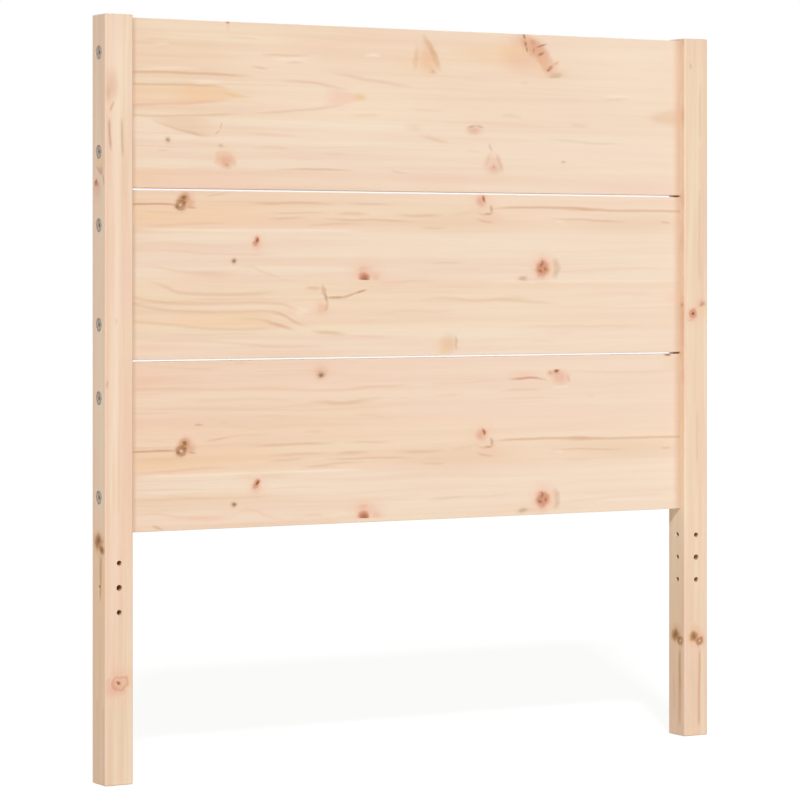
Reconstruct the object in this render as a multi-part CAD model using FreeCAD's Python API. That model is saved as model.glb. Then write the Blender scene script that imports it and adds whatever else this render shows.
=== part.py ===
import FreeCAD, Part

import math
import os

from FreeCAD import Vector

# A pine headboard: two square posts that are also the legs, and three wide boards between them.
# It stands on the floor with its front towards -Y. The origin is on the floor, midway between
# the posts and midway through their depth. Every value is in millimetres.

# Whole headboard
overall_width = 955.0
overall_height = 1000.0

# Posts
post_width = 40.0
post_depth = 40.0
post_edge_radius = 2.0
post_end_chamfer = 1.0

# Boards, counted from the top
board_names = ("top", "middle", "bottom")
board_height = 222.0
board_thickness = 18.0
board_gap = 2.5
board_edge_radius = 1.0
boards_below_post_top = 3.0

# Connector bolts, two through each post into each board end
bolt_diameter = 6.0
bolt_from_board_edge = 46.5
bolt_past_nut = 3.2
bolt_hole_clearance = 0.5
head_flange = 5.5
head_thickness = 2.0
head_rim_chamfer = 0.4
head_recess = 0.2
head_clearance = 0.5
socket_sides = 6
socket_share = 2 / 3
socket_depth = 3.0

# Barrel nuts, let into the back of the boards
nut_wall = 2.0
nut_from_board_end = 34.0
nut_inset = 2.5
nut_slot_width = 1.2
nut_slot_depth = 1.2
nut_clearance = 0.1
thread_clearance = 0.05

# Dowels, one in the middle of each board end
dowel_diameter = 8.0
dowel_length = 30.0
dowel_end_chamfer = 1.0
dowel_clearance = 0.05

# Spare depth past the end of whatever stands in a blind hole
hole_end_clearance = 0.8

# Holes in the legs for the rest of the bed: on the front face a bolt hole between two dowel
# holes for a side rail, on the inner face three equal holes for a cross rail, and on the outer
# face one small hole
leg_hole_height = 256.0
leg_hole_pitch = 32.0
rail_bolt_hole_diameter = 8.0
rail_dowel_hole_diameter = 7.0
rail_dowel_hole_depth = 15.0
cross_rail_hole_diameter = 7.0
cross_rail_hole_depth = 13.0
cross_rail_hole_from_front = 18.0
outer_hole_diameter = 6.0
outer_hole_depth = 10.0

# Every cutting shape runs this far past the face that it opens
overrun = 2.0

# An edge whose sideways run is under this share of its length counts as straight along an axis
parallel_share = 0.001

# Worked-out places
outer_x = -overall_width / 2
inner_x = outer_x + post_width
post_middle_x = outer_x + post_width / 2
front_y = -post_depth / 2
cross_rail_hole_y = front_y + cross_rail_hole_from_front
board_front_y = -board_thickness / 2
board_pitch = board_height + board_gap
board_length = overall_width - 2 * post_width

# Worked-out fastener sizes
head_diameter = bolt_diameter + 2 * head_flange
counterbore_diameter = head_diameter + 2 * head_clearance
counterbore_depth = head_thickness + head_recess
bolt_hole_diameter = bolt_diameter + 2 * bolt_hole_clearance
nut_diameter = bolt_diameter + 2 * nut_wall
nut_length = board_thickness - 2 * nut_inset
nut_x = inner_x + nut_from_board_end
bolt_tip_x = nut_x + nut_diameter / 2 + bolt_past_nut
dowel_hole_diameter = dowel_diameter + 2 * dowel_clearance

along_x = Vector(1, 0, 0)
along_y = Vector(0, 1, 0)
along_z = Vector(0, 0, 1)


def rod(diameter, start, direction, length):
    return Part.makeCylinder(diameter / 2, length, start, direction)


def edges_along(shape, axis):
    """The straight edges that run parallel to an axis."""
    found = []
    for edge in shape.Edges:
        ends = [vertex.Point for vertex in edge.Vertexes]
        straight = isinstance(edge.Curve, Part.Line)
        if straight and (ends[1] - ends[0]).cross(axis).Length < parallel_share * edge.Length:
            found.append(edge)
    return found


def revolved(profile, axis_point, axis):
    """A solid of revolution from the corners of its half section."""
    outline = Part.makePolygon(profile + profile[:1])
    return Part.Face(outline).revolve(axis_point, axis, 360)


def board_middle_z(row):
    top_edge = overall_height - boards_below_post_top - row * board_pitch
    return top_edge - board_height / 2


def bolt_heights(row):
    """The heights of the upper and the lower bolt of one board end."""
    reach = board_height / 2 - bolt_from_board_edge
    return {"upper": board_middle_z(row) + reach, "lower": board_middle_z(row) - reach}


def mirrored(shape):
    """The same piece on the right of the headboard."""
    return shape.mirror(Vector(0, 0, 0), along_x)


def post_blank():
    """A square bar with rounded long edges and chamfered ends."""
    corner = Vector(outer_x, front_y, 0)
    bar = Part.makeBox(post_width, post_depth, overall_height, corner)
    bar = bar.makeFillet(post_edge_radius, edges_along(bar, along_z))
    end_edges = []
    for face in bar.Faces:
        if abs(face.normalAt(0, 0).z) > math.cos(math.radians(45)):
            end_edges += face.Edges
    return bar.makeChamfer(post_end_chamfer, end_edges)


def board_fixings_in_post():
    """The counterbored bolt holes and the dowel holes where the boards meet the left post."""
    cuts = []
    for row in range(len(board_names)):
        for height in bolt_heights(row).values():
            mouth = Vector(outer_x - overrun, 0, height)
            cuts.append(rod(bolt_hole_diameter, mouth, along_x, post_width + 2 * overrun))
            cuts.append(rod(counterbore_diameter, mouth, along_x, counterbore_depth + overrun))
        mouth = Vector(inner_x + overrun, 0, board_middle_z(row))
        depth = dowel_length / 2 + hole_end_clearance
        cuts.append(rod(dowel_hole_diameter, mouth, -along_x, depth + overrun))
    return cuts


def leg_holes():
    """The holes that take a side rail on the front face and a cross rail on the inner face,
    and the small one in the outer face. Only the side rail's bolt hole goes right through."""
    rail_mouth = Vector(post_middle_x, front_y - overrun, leg_hole_height)
    cross_mouth = Vector(inner_x + overrun, cross_rail_hole_y, leg_hole_height)
    outer_mouth = Vector(outer_x - overrun, cross_rail_hole_y, leg_hole_height)
    rail_depth = rail_dowel_hole_depth + overrun
    cross_depth = cross_rail_hole_depth + overrun
    cuts = [
        rod(rail_bolt_hole_diameter, rail_mouth, along_y, post_depth + 2 * overrun),
        rod(cross_rail_hole_diameter, cross_mouth, -along_x, cross_depth),
        rod(outer_hole_diameter, outer_mouth, along_x, outer_hole_depth + overrun),
    ]
    for lift in (along_z * leg_hole_pitch, -along_z * leg_hole_pitch):
        cuts.append(rod(rail_dowel_hole_diameter, rail_mouth + lift, along_y, rail_depth))
        cuts.append(rod(cross_rail_hole_diameter, cross_mouth + lift, -along_x, cross_depth))
    return cuts


def left_post():
    return post_blank().cut(board_fixings_in_post() + leg_holes())


def board_blank(row):
    """A flat board with its long edges rounded and its ends cut square."""
    corner = Vector(inner_x, board_front_y, board_middle_z(row) - board_height / 2)
    plank = Part.makeBox(board_length, board_thickness, board_height, corner)
    return plank.makeFillet(board_edge_radius, edges_along(plank, along_x))


def fixings_in_board_end(row):
    """The bolt, barrel nut and dowel holes in the left end of a board."""
    cuts = []
    for height in bolt_heights(row).values():
        mouth = Vector(inner_x - overrun, 0, height)
        depth = bolt_tip_x + hole_end_clearance - inner_x
        cuts.append(rod(bolt_hole_diameter, mouth, along_x, depth + overrun))
        floor = Vector(nut_x, -nut_length / 2 - nut_clearance, height)
        nut_hole_diameter = nut_diameter + 2 * nut_clearance
        cuts.append(rod(nut_hole_diameter, floor, along_y, board_thickness + overrun))
    mouth = Vector(inner_x - overrun, 0, board_middle_z(row))
    depth = dowel_length / 2 + hole_end_clearance
    cuts.append(rod(dowel_hole_diameter, mouth, along_x, depth + overrun))
    return cuts


def board(row):
    left_end = fixings_in_board_end(row)
    right_end = [mirrored(cut) for cut in left_end]
    return board_blank(row).cut(left_end + right_end)


def hex_socket(face_x, height):
    """The six-sided recess that takes the key, cut inwards from the face of a bolt head."""
    across_flats = bolt_diameter * socket_share
    corner_radius = across_flats / 2 / math.cos(math.pi / socket_sides)
    corners = []
    for side in range(socket_sides):
        turn = math.radians(360 / socket_sides * side)
        y = corner_radius * math.cos(turn)
        z = corner_radius * math.sin(turn)
        corners.append(Vector(face_x - overrun, y, height + z))
    outline = Part.makePolygon(corners + corners[:1])
    return Part.Face(outline).extrude(along_x * (socket_depth + overrun))


def bolt(height):
    """A connector bolt with a thin flat head, its head in the outer face of the left post."""
    face_x = outer_x + head_recess
    seat_x = outer_x + counterbore_depth
    head_radius = head_diameter / 2
    shank_radius = bolt_diameter / 2
    section = (
        (face_x, 0),
        (face_x, head_radius - head_rim_chamfer),
        (face_x + head_rim_chamfer, head_radius),
        (seat_x, head_radius),
        (seat_x, shank_radius),
        (bolt_tip_x, shank_radius),
        (bolt_tip_x, 0),
    )
    profile = [Vector(x, 0, height + radius) for x, radius in section]
    turned = revolved(profile, Vector(0, 0, height), along_x)
    return turned.cut(hex_socket(face_x, height))


def barrel_nut(height):
    """A cross dowel: a round bar across the board with a threaded hole through its side
    and a slot in the end that shows at the back, in line with that hole."""
    half = nut_length / 2
    bar = rod(nut_diameter, Vector(nut_x, -half, height), along_y, nut_length)
    side_x = nut_x - nut_diameter / 2 - overrun
    across = nut_diameter + 2 * overrun
    thread = rod(bolt_diameter + 2 * thread_clearance, Vector(side_x, 0, height), along_x, across)
    slot_corner = Vector(side_x, half - nut_slot_depth, height - nut_slot_width / 2)
    slot = Part.makeBox(across, nut_slot_depth + overrun, nut_slot_width, slot_corner)
    return bar.cut([thread, slot])


def dowel(height):
    """A round hardwood peg with chamfered ends, half in the left post and half in a board."""
    half = dowel_length / 2
    radius = dowel_diameter / 2
    section = (
        (-half, 0),
        (-half, radius - dowel_end_chamfer),
        (dowel_end_chamfer - half, radius),
        (half - dowel_end_chamfer, radius),
        (half, radius - dowel_end_chamfer),
        (half, 0),
    )
    profile = [Vector(inner_x + x, 0, height + out) for x, out in section]
    return revolved(profile, Vector(0, 0, height), along_x)


def all_pieces():
    """Every piece of the headboard by its name, at its place."""
    post = left_post()
    pieces = {"left_post": post, "right_post": mirrored(post)}
    for row, name in enumerate(board_names):
        pieces[name + "_board"] = board(row)
        peg = dowel(board_middle_z(row))
        pieces["dowel_left_" + name] = peg
        pieces["dowel_right_" + name] = mirrored(peg)
        for level, height in bolt_heights(row).items():
            screw = bolt(height)
            nut = barrel_nut(height)
            pieces["bolt_left_" + name + "_" + level] = screw
            pieces["bolt_right_" + name + "_" + level] = mirrored(screw)
            pieces["barrel_nut_left_" + name + "_" + level] = nut
            pieces["barrel_nut_right_" + name + "_" + level] = mirrored(nut)
    return pieces


os.makedirs("parts", exist_ok=True)
for piece_name, piece in all_pieces().items():
    piece.exportStep("parts/" + piece_name + ".step")
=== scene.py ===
import math
from collections import namedtuple
from itertools import product

import bmesh
import bpy
from mathutils import Matrix, Vector


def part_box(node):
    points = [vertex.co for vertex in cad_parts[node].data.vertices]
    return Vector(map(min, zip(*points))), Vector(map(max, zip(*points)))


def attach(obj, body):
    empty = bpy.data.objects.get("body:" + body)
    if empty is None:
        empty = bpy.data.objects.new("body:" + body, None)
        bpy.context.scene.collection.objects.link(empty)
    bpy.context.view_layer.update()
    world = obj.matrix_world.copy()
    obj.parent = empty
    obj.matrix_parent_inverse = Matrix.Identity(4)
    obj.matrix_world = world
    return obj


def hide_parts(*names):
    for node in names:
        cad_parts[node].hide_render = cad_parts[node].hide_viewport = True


bl_info = {
    "name": "Pine Headboard",
    "version": (1, 0, 0),
    "blender": (4, 5, 0),
    "location": "3D View > Sidebar > Headboard",
    "description": "Finishes a pine headboard: planed boards and posts, bolts, barrel nuts and dowels",
    "category": "Object",
}

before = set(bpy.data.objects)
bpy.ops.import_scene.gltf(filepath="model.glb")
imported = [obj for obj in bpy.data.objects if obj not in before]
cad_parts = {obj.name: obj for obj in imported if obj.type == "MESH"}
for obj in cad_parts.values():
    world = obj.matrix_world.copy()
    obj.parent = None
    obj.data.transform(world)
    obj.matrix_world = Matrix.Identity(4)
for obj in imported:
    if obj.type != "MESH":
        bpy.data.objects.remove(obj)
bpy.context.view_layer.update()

MM = 0.001
SIDES = ("left", "right")
ROWS = ("top", "middle", "bottom")
LEVELS = ("upper", "lower")

# Two faces that meet at a wider turn than this show a crisp edge
SHARP_EDGE = math.radians(30)


def srgb(red, green, blue):
    """A colour written in ordinary 0 to 255 values, as the linear colour that shaders take."""
    def linear(value):
        share = value / 255
        return share / 12.92 if share <= 0.04045 else ((share + 0.055) / 1.055) ** 2.4
    return (linear(red), linear(green), linear(blue))


# Colours of the wood's figure
FIGURE_COLOURS = {
    "pale": srgb(251, 234, 212),
    "straw": srgb(238, 212, 164),
    "amber": srgb(241, 200, 156),
    "gold": srgb(230, 192, 124),
    "pink": srgb(240, 196, 172),
    "rose": srgb(228, 172, 144),
    "tan": srgb(226, 188, 152),
    "brown": srgb(207, 155, 112),
    "bark": srgb(166, 108, 64),
    "russet": srgb(203, 137, 108),
    "char": srgb(122, 62, 24),
    "slate": srgb(206, 176, 142),
    "olive": srgb(148, 103, 56),
    "rust": srgb(172, 98, 76),
    "ember": srgb(216, 134, 86),
    "moss": srgb(220, 196, 144),
}

# How a knot's colour runs outwards from its middle: share of its radius, colour, cover
KNOT_KINDS = {
    "dark": (
        (0.00, "char", 0.92), (0.35, "char", 0.8), (0.65, "bark", 0.7), (0.95, "brown", 0.55),
        (1.25, "rose", 0.32), (1.6, "pink", 0.16), (2.0, "pink", 0.0)),
    "red": (
        (0.00, "char", 0.75), (0.16, "bark", 0.8), (0.30, "russet", 0.85), (0.70, "russet", 0.75),
        (0.90, "russet", 0.6), (1.05, "rose", 0.5), (1.35, "pink", 0.3), (2.0, "pink", 0.0)),
    "eye": (
        (0.00, "gold", 0.5), (0.22, "brown", 0.5), (0.44, "olive", 0.75), (0.72, "char", 0.5),
        (0.95, "olive", 0.6), (1.20, "brown", 0.4), (1.8, "pink", 0.0)),
    "brick": (
        (0.00, "russet", 0.8), (0.50, "russet", 0.85), (0.85, "russet", 0.62), (1.05, "rose", 0.5),
        (1.4, "pink", 0.3), (2.0, "pink", 0.0)),
    "mark": (
        (0.00, "bark", 0.85), (0.50, "bark", 0.65), (0.90, "bark", 0.25), (1.2, "brown", 0.0)),
    "core": (
        (0.00, "rust", 0.85), (0.50, "rust", 0.7), (0.90, "rust", 0.3), (1.2, "brown", 0.0)),
    "pin": (
        (0.00, "olive", 0.72), (0.50, "olive", 0.62), (0.95, "olive", 0.22), (1.30, "tan", 0.25),
        (2.0, "tan", 0.0)),
    "tawny": (
        (0.00, "char", 0.85), (0.35, "olive", 0.85), (0.75, "olive", 0.62), (1.05, "brown", 0.45),
        (1.5, "amber", 0.3), (2.0, "amber", 0.0)),
    "ring": (
        (0.00, "rose", 0.34), (0.55, "rose", 0.30), (0.86, "russet", 0.44), (1.0, "russet", 0.36),
        (1.15, "pink", 0.2), (1.6, "pink", 0.0)),
    "faint": (
        (0.00, "bark", 0.5), (0.40, "russet", 0.4), (0.80, "rose", 0.35), (1.20, "rose", 0.2),
        (2.0, "pink", 0.0)),
    "sound": (
        (0.00, "rose", 0.45), (0.50, "rose", 0.38), (0.90, "amber", 0.34), (1.15, "pink", 0.18),
        (1.5, "pink", 0.0)),
    "blush": (
        (0.00, "rose", 0.5), (0.50, "rose", 0.34), (1.0, "pink", 0.22), (1.9, "pink", 0.0)),
    "smoke": (
        (0.00, "slate", 0.75), (0.60, "slate", 0.55), (1.0, "tan", 0.25), (1.8, "tan", 0.0)),
}

# The marks that make up the figure of a board or post face, in millimetres. Along runs with the
# grain: a board's X from its middle, a post's height. Across runs down from a board's top edge, or
# across a post's face. A knot's cut gives the edges of the stave that the knot stops at.
Line = namedtuple("Line", "colour strength width points")
Stroke = namedtuple("Stroke", "colour strength half_width start end")
Band = namedtuple("Band", "colour strength soft upper lower")
Knot = namedtuple("Knot", "kind along across half_length half_width turn cut", defaults=(0.0, None))
Spot = namedtuple("Spot", "colour strength along across half_length half_width")
# A stretch along the wood, and the socket that gives the share of it behind a point
Run = namedtuple("Run", "first last share")

# Just past a board's end, for lines that run off it
END = 440.0

# How many millimetres a drawn line takes to fade in, on boards and on posts
BOARD_FADE = 40.0
POST_FADE = 12.0

# The staves that each board is glued up from: how far down each one starts, and its tone
TOP_STAVES = ((0.0, "warm"), (60.0, "warm"), (128.0, "cream"), (196.0, "blush"))
MIDDLE_STAVES = ((0.0, "honey"), (50.0, "cream"), (118.0, "warm"), (186.0, "cream"))
BOTTOM_STAVES = ((0.0, "blush"), (14.0, "blush"), (81.0, "honey"), (148.5, "cream"), (217.0, "warm"))
# Half the width over which one stave's tone runs into the next
STAVE_BLUR = 3.0
STAVE_TONES = {
    "warm": srgb(240, 215, 187),
    "cream": srgb(241, 221, 201),
    "blush": srgb(240, 209, 188),
    "honey": srgb(241, 210, 181),
}

# The bottom board's third and fourth staves are cut like the middle board's first and second
BOTTOM_SHIFT = 98.5

# The top board: its streaks, flames and ring lines, and then its knots
TOP_STREAKS_FIGURE = [
    Spot("pale", 0.30, -110, 112, 190, 60),
    Spot("pale", 0.24, -225, 52, 110, 44),
    Spot("pale", 0.26, 350, 44, 120, 60),
    Spot("pale", 0.26, -400, 142, 90, 26),
    Spot("pale", 0.22, -300, 8, 190, 22),
    Spot("pale", 0.26, -280, 155, 150, 8),
    Spot("straw", 0.16, -350, 45, 90, 14),
    Spot("amber", 0.40, 115, 30, 80, 20),
    Spot("rose", 0.18, 162, 36, 36, 22),
    Spot("pink", 0.24, 185, 48, 60, 18),
    Spot("amber", 0.25, 0, 45, 55, 22),
    Spot("pink", 0.28, -330, 212, 130, 16),
    Spot("amber", 0.28, -415, 207, 50, 15),
    Spot("pink", 0.20, 20, 206, 60, 14),
    Spot("pink", 0.22, 350, 213, 110, 12),
    Spot("pink", 0.16, -170, 25, 60, 14),
    Band("amber", 0.30, 6, ((-END, 88), (-390, 87), (-330, 87), (-310, 88)),
         ((-END, 108), (-390, 109), (-330, 107), (-310, 105))),
    Band("amber", 0.60, 7, ((-385, 90), (-345, 87), (-307, 87), (-287, 93), (-268, 97.4)),
         ((-385, 108), (-345, 108), (-307, 105), (-287, 102), (-268, 98.6))),
    Band("gold", 0.50, 3, ((-306, 93), (-286, 95), (-276, 96.4), (-254, 98)),
         ((-306, 94), (-286, 100), (-276, 100.4), (-254, 99))),
    Spot("pale", 0.45, -325, 81, 26, 5),
    Band("pink", 0.30, 3, ((-END, 104), (-360, 104), (-290, 100), (-270, 98)),
         ((-END, 115), (-362, 111), (-300, 106), (-270, 98.6))),
    Band("pink", 0.50, 5, ((-150, 83), (-125, 86), (-105, 90), (-84, 94.5)),
         ((-150, 112), (-125, 107), (-105, 103), (-84, 96))),
    Spot("gold", 0.60, -93, 95, 13, 6.5),
    Band("tan", 0.46, 12, ((376, 111), (395, 106), (437, 98), (END, 98)),
         ((376, 113), (395, 118), (437, 123), (END, 123))),
    Band("tan", 0.42, 4, ((-420, 128), (-370, 128), (-330, 128), (-306, 130)),
         ((-420, 129), (-370, 143), (-330, 152), (-306, 145))),
    Line("brown", 0.46, 1.5, ((-END, 71), (-380, 69.5), (-320, 70.5), (-250, 72))),
    Line("brown", 0.28, 1.8, ((-225, 75), (-200, 76), (-165, 77), (-150, 79.5), (-120, 84), (-100, 88))),
    Line("brown", 0.26, 1.6, ((-262, 121), (-200, 116), (-142, 110), (-112, 104))),
    Line("brown", 0.30, 1.5, ((-END, 127), (-400, 127.5), (-337, 125), (-262, 121.5))),
    Line("brown", 0.46, 1.5, ((-END, 86.5), (-390, 86), (-340, 85.5), (-307, 86), (-287, 92))),
    Line("rose", 0.42, 1.6, ((-END, 114.5), (-400, 111.5), (-362, 110), (-325, 107), (-290, 103))),
    Line("brown", 0.30, 1.5, ((-250, 43.5), (-235, 42), (-200, 42), (-168, 41))),
    Line("brown", 0.22, 1.2, ((-207, 52.5), (-192, 51), (-177, 51.5))),
    Line("pale", 0.50, 1.6, ((-232, 47), (-200, 47), (-160, 45))),
    Line("pale", 0.60, 1.6, ((-88, 39), (-70, 37.5), (-55, 39))),
    Line("brown", 0.28, 1.4, ((-262, 58), (-252, 59), (-230, 61))),
    Line("brown", 0.24, 2.2, ((-146, 64), (-110, 66), (-87, 70), (-50, 74), (-2, 80))),
    Line("moss", 0.34, 1.8, ((-112, 121), (-85, 119), (-50, 118))),
    Line("brown", 0.34, 1.5, ((-410, 131), (-370, 144), (-345, 149), (-330, 152), (-305, 150))),
    Stroke("brown", 0.34, 1.8, (-316, 151), (-304, 143)),
    Stroke("brown", 0.34, 1.8, (-304, 145), (-303, 131)),
    Line("brown", 0.20, 1.2, ((-400, 172), (-380, 171.5))),
    Line("tan", 0.30, 1.5, ((-275, 150), (-250, 148), (-215, 149), (-180, 151))),
    Line("tan", 0.26, 1.5, ((-258, 167), (-230, 165.5), (-190, 168))),
    Line("tan", 0.20, 1.4, ((-155, 173), (-130, 172.5), (-108, 174))),
    Line("tan", 0.18, 1.3, ((-200, 180), (-160, 181))),
    Line("brown", 0.42, 1.2, ((-222, 195.5), (-170, 193.5), (-96, 194.8))),
    Line("brown", 0.24, 1.3, ((-48, 193), (-30, 196), (-15, 197))),
    Line("tan", 0.26, 1.4, ((-420, 28), (-395, 26.5), (-375, 27.5))),
    Line("tan", 0.24, 1.4, ((-405, 38), (-375, 36.5))),
    Line("pale", 0.30, 1.6, ((-405, 33), (-375, 32))),
    Line("pale", 0.40, 2.0, ((-430, 66), (-380, 64), (-330, 64.5))),
    Line("tan", 0.20, 1.6, ((-320, 20), (-260, 21), (-230, 24))),
    Line("slate", 0.24, 2.2, ((130, 115), (145, 114), (170, 118))),
    Line("slate", 0.22, 2.4, ((245, 124), (262, 125), (280, 127))),
    Line("slate", 0.24, 1.6, ((298, 88), (320, 87.5), (352, 85))),
    Line("pale", 0.45, 1.4, ((300, 84), (330, 82.5), (360, 82))),
    Line("moss", 0.26, 1.8, ((165, 68), (182, 67))),
    Line("tan", 0.20, 1.6, ((-20, 108), (20, 110), (48, 107))),
    Line("slate", 0.22, 1.5, ((200, 144), (240, 147), (300, 150), (350, 148.5))),
    Line("tan", 0.24, 1.4, ((0, 144), (25, 150), (55, 155))),
    Line("tan", 0.20, 1.3, ((75, 164), (105, 166))),
]

TOP_KNOTS_FIGURE = [
    Knot("dark", -294, 1.2, 2.8, 1.8, 0.1),
    Spot("rose", 0.28, -293, 7, 4, 7),
    Spot("amber", 0.50, 14, 40, 18, 26),
    Spot("rose", 0.34, 16, 38, 19, 26),
    Stroke("brown", 0.38, 6.0, (6, 4), (28, 38)),
    Stroke("brown", 0.44, 6.6, (18, 20), (36, 58)),
    Stroke("brown", 0.34, 5.6, (-2, 20), (-6, 58)),
    Knot("faint", 23, 57, 4.6, 3.8, 0.0, cut=(-8, 60)),
    Spot("amber", 0.45, 156, 27, 36, 26),
    Spot("russet", 0.35, 172, 12, 8, 9),
    Spot("russet", 0.30, 190, 22, 24, 20),
    Spot("amber", 0.40, 196, 42, 30, 16),
    Spot("rose", 0.34, 164, 10, 20, 14),
    Spot("rose", 0.14, 170, 38, 30, 16),
    Band("ember", 0.44, 12, ((160, 0), (185, 4), (205, 18), (222, 36), (232, 48)),
         ((160, 4), (178, 24), (192, 34), (204, 50), (232, 60))),
    Stroke("russet", 0.40, 5.0, (182, 8), (192, 14)),
    Knot("mark", 172, 3, 2.4, 5.0, -0.6),
    Knot("mark", 174.4, 13.6, 2.2, 4.6),
    Knot("mark", 176.6, 21.0, 2.0, 4.6),
    Knot("mark", 200.5, 27.0, 5.6, 2.4, -0.45),
    Knot("mark", 214.0, 46.2, 7.0, 3.2, -0.7),
    Knot("dark", 212, 48.8, 2.4, 2.0, -0.5),
    Knot("smoke", 224, 57, 15, 6, -0.2, cut=(-8, 60)),
    Stroke("bark", 0.70, 1.7, (190, 18.6), (211, 12)),
    Stroke("olive", 0.50, 1.6, (189, 17), (188, 27)),
    Stroke("brown", 0.44, 2.4, (218, 42), (232, 35)),
    Knot("pin", -382.5, 158, 4.2, 3.6),
    Knot("mark", -382.5, 158, 2.4, 2.0),
    Knot("smoke", -304, 164.5, 4, 2.4),
    Knot("sound", -297, 180, 13, 12, 0.2, cut=(128, 196)),
    Spot("rose", 0.40, -296, 185, 17, 10),
    Spot("brown", 0.36, -296, 187, 16, 9),
    Stroke("rose", 0.36, 4.6, (-314, 192), (-304, 168)),
    Stroke("rose", 0.36, 4.6, (-281, 193), (-291, 172)),
    Knot("faint", -294, 190, 4.6, 3.6, 0.2, cut=(128, 196)),
    Spot("rose", 0.46, 92, 135, 16, 9),
    Spot("brown", 0.26, 88, 136, 10, 6),
    Stroke("olive", 0.34, 2.4, (78, 133), (92, 128.6)),
    Stroke("slate", 0.60, 2.4, (90, 128.4), (108, 132)),
    Spot("tan", 0.36, -8, 134, 17, 7),
    Line("tan", 0.34, 2.4, ((0, 145), (24, 149), (50, 156))),
    Spot("rose", 0.36, 120, 182, 18, 18),
    Spot("brown", 0.24, 124, 190, 16, 8),
    Stroke("brown", 0.34, 4.0, (124, 166), (138, 194)),
    Stroke("brown", 0.20, 4.0, (105, 190), (116, 164)),
    Stroke("olive", 0.26, 2.6, (116, 152), (118, 166)),
    Knot("faint", 121, 186, 3.4, 3.0),
    Knot("smoke", 237.5, 177, 4.4, 2.0),
]

# The middle board's four staves from the top. The first two are also on the bottom board.
DOUBLE_KNOT_FIGURE = [
    Spot("amber", 0.36, -400, 36, 100, 15),
    Spot("amber", 0.30, -300, 30, 130, 18),
    Spot("pink", 0.20, -330, 24, 100, 10),
    Spot("tan", 0.26, 60, 38, 150, 22),
    Spot("tan", 0.24, 350, 40, 120, 18),
    Line("brown", 0.80, 1.2, ((-END, 18.4), (-400, 18.2), (-372, 18.8), (-352, 19.5))),
    Line("brown", 0.26, 1.3, ((-330, 8), (-310, 5), (-290, 2))),
    Line("brown", 0.36, 1.6, ((-272, 15.5), (-220, 15), (-170, 14.5), (-125, 16))),
    Line("slate", 0.34, 1.4, ((-120, 14.8), (-80, 14.5), (-35, 15.5))),
    Line("brown", 0.26, 1.5, ((-240, 28.5), (-180, 28), (-130, 27))),
    Line("brown", 0.32, 1.8, ((-135, 28.5), (-100, 28.2), (-75, 29))),
    Line("brown", 0.32, 1.8, ((-40, 29), (-15, 30), (0, 30), (45, 29))),
    Line("brown", 0.28, 1.4, ((-240, 37), (-200, 35), (-170, 34.5))),
    Line("brown", 0.34, 1.4, ((-155, 36), (-100, 36.5), (-50, 37), (0, 39))),
    Line("brown", 0.26, 1.4, ((-180, 44.5), (-150, 44), (-125, 42), (-80, 42))),
    Line("tan", 0.34, 1.4, ((-430, 28), (-380, 29), (-350, 30))),
    Line("rose", 0.30, 1.5, ((-437, 46), (-380, 45.5), (-330, 43), (-280, 43))),
    Line("brown", 0.24, 1.6, ((0, 45), (30, 47), (48, 46))),
    Line("moss", 0.30, 2.0, ((48, 30), (75, 26), (100, 22))),
    Line("brown", 0.50, 1.5, ((112, 19.6), (150, 17.5), (200, 17), (265, 17.5), (310, 18.6))),
    Line("brown", 0.46, 1.5, ((228, 19.2), (272, 19.5), (320, 20), (380, 20), (END, 20.5))),
    Line("brown", 0.34, 1.5, ((90, 32.5), (103, 36.5), (125, 39))),
    Line("brown", 0.30, 1.3, ((208, 32), (235, 33), (267, 33), (300, 35), (350, 36))),
    Line("brown", 0.32, 1.5, ((400, 36), (422, 36.5))),
    Line("pale", 0.40, 1.4, ((222, 36), (240, 36.5))),
    Line("pale", 0.50, 1.6, ((-430, 51.4), (-340, 51.4), (-200, 51.2), (-80, 51.6))),
    Spot("rose", 0.50, -352, 12, 12, 13),
    Spot("brown", 0.50, -350, 17, 11, 7),
    Stroke("brown", 0.55, 2.0, (-356, 21), (-338, 22.6)),
    Knot("dark", -358.5, 9.8, 8.2, 7.0, -0.3),
    Knot("tawny", -358.2, 9.6, 3.4, 3.2, -0.3),
    Knot("eye", -363, 19, 7.4, 6.6, -0.25),
    Knot("mark", -368.0, 21.6, 3.4, 2.6, 0.5),
    Knot("mark", -357.5, 16.0, 3.0, 3.0),
    Knot("blush", 103, 9, 14, 13, 0.2),
    Spot("russet", 0.50, 101, 9, 10, 9),
    Knot("brick", 105, 5.6, 2.6, 5.2, -0.5),
    Knot("mark", 105.6, 5.6, 1.8, 4.2, -0.5),
    Stroke("olive", 0.42, 3.6, (117, 12), (119, 27)),
    Stroke("brown", 0.60, 2.6, (106, 25.5), (119, 27)),
    Line("brown", 0.40, 1.4, ((92, 24), (110, 27), (128, 23))),
    Spot("pink", 0.42, 118, 33, 28, 8),
]

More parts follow.
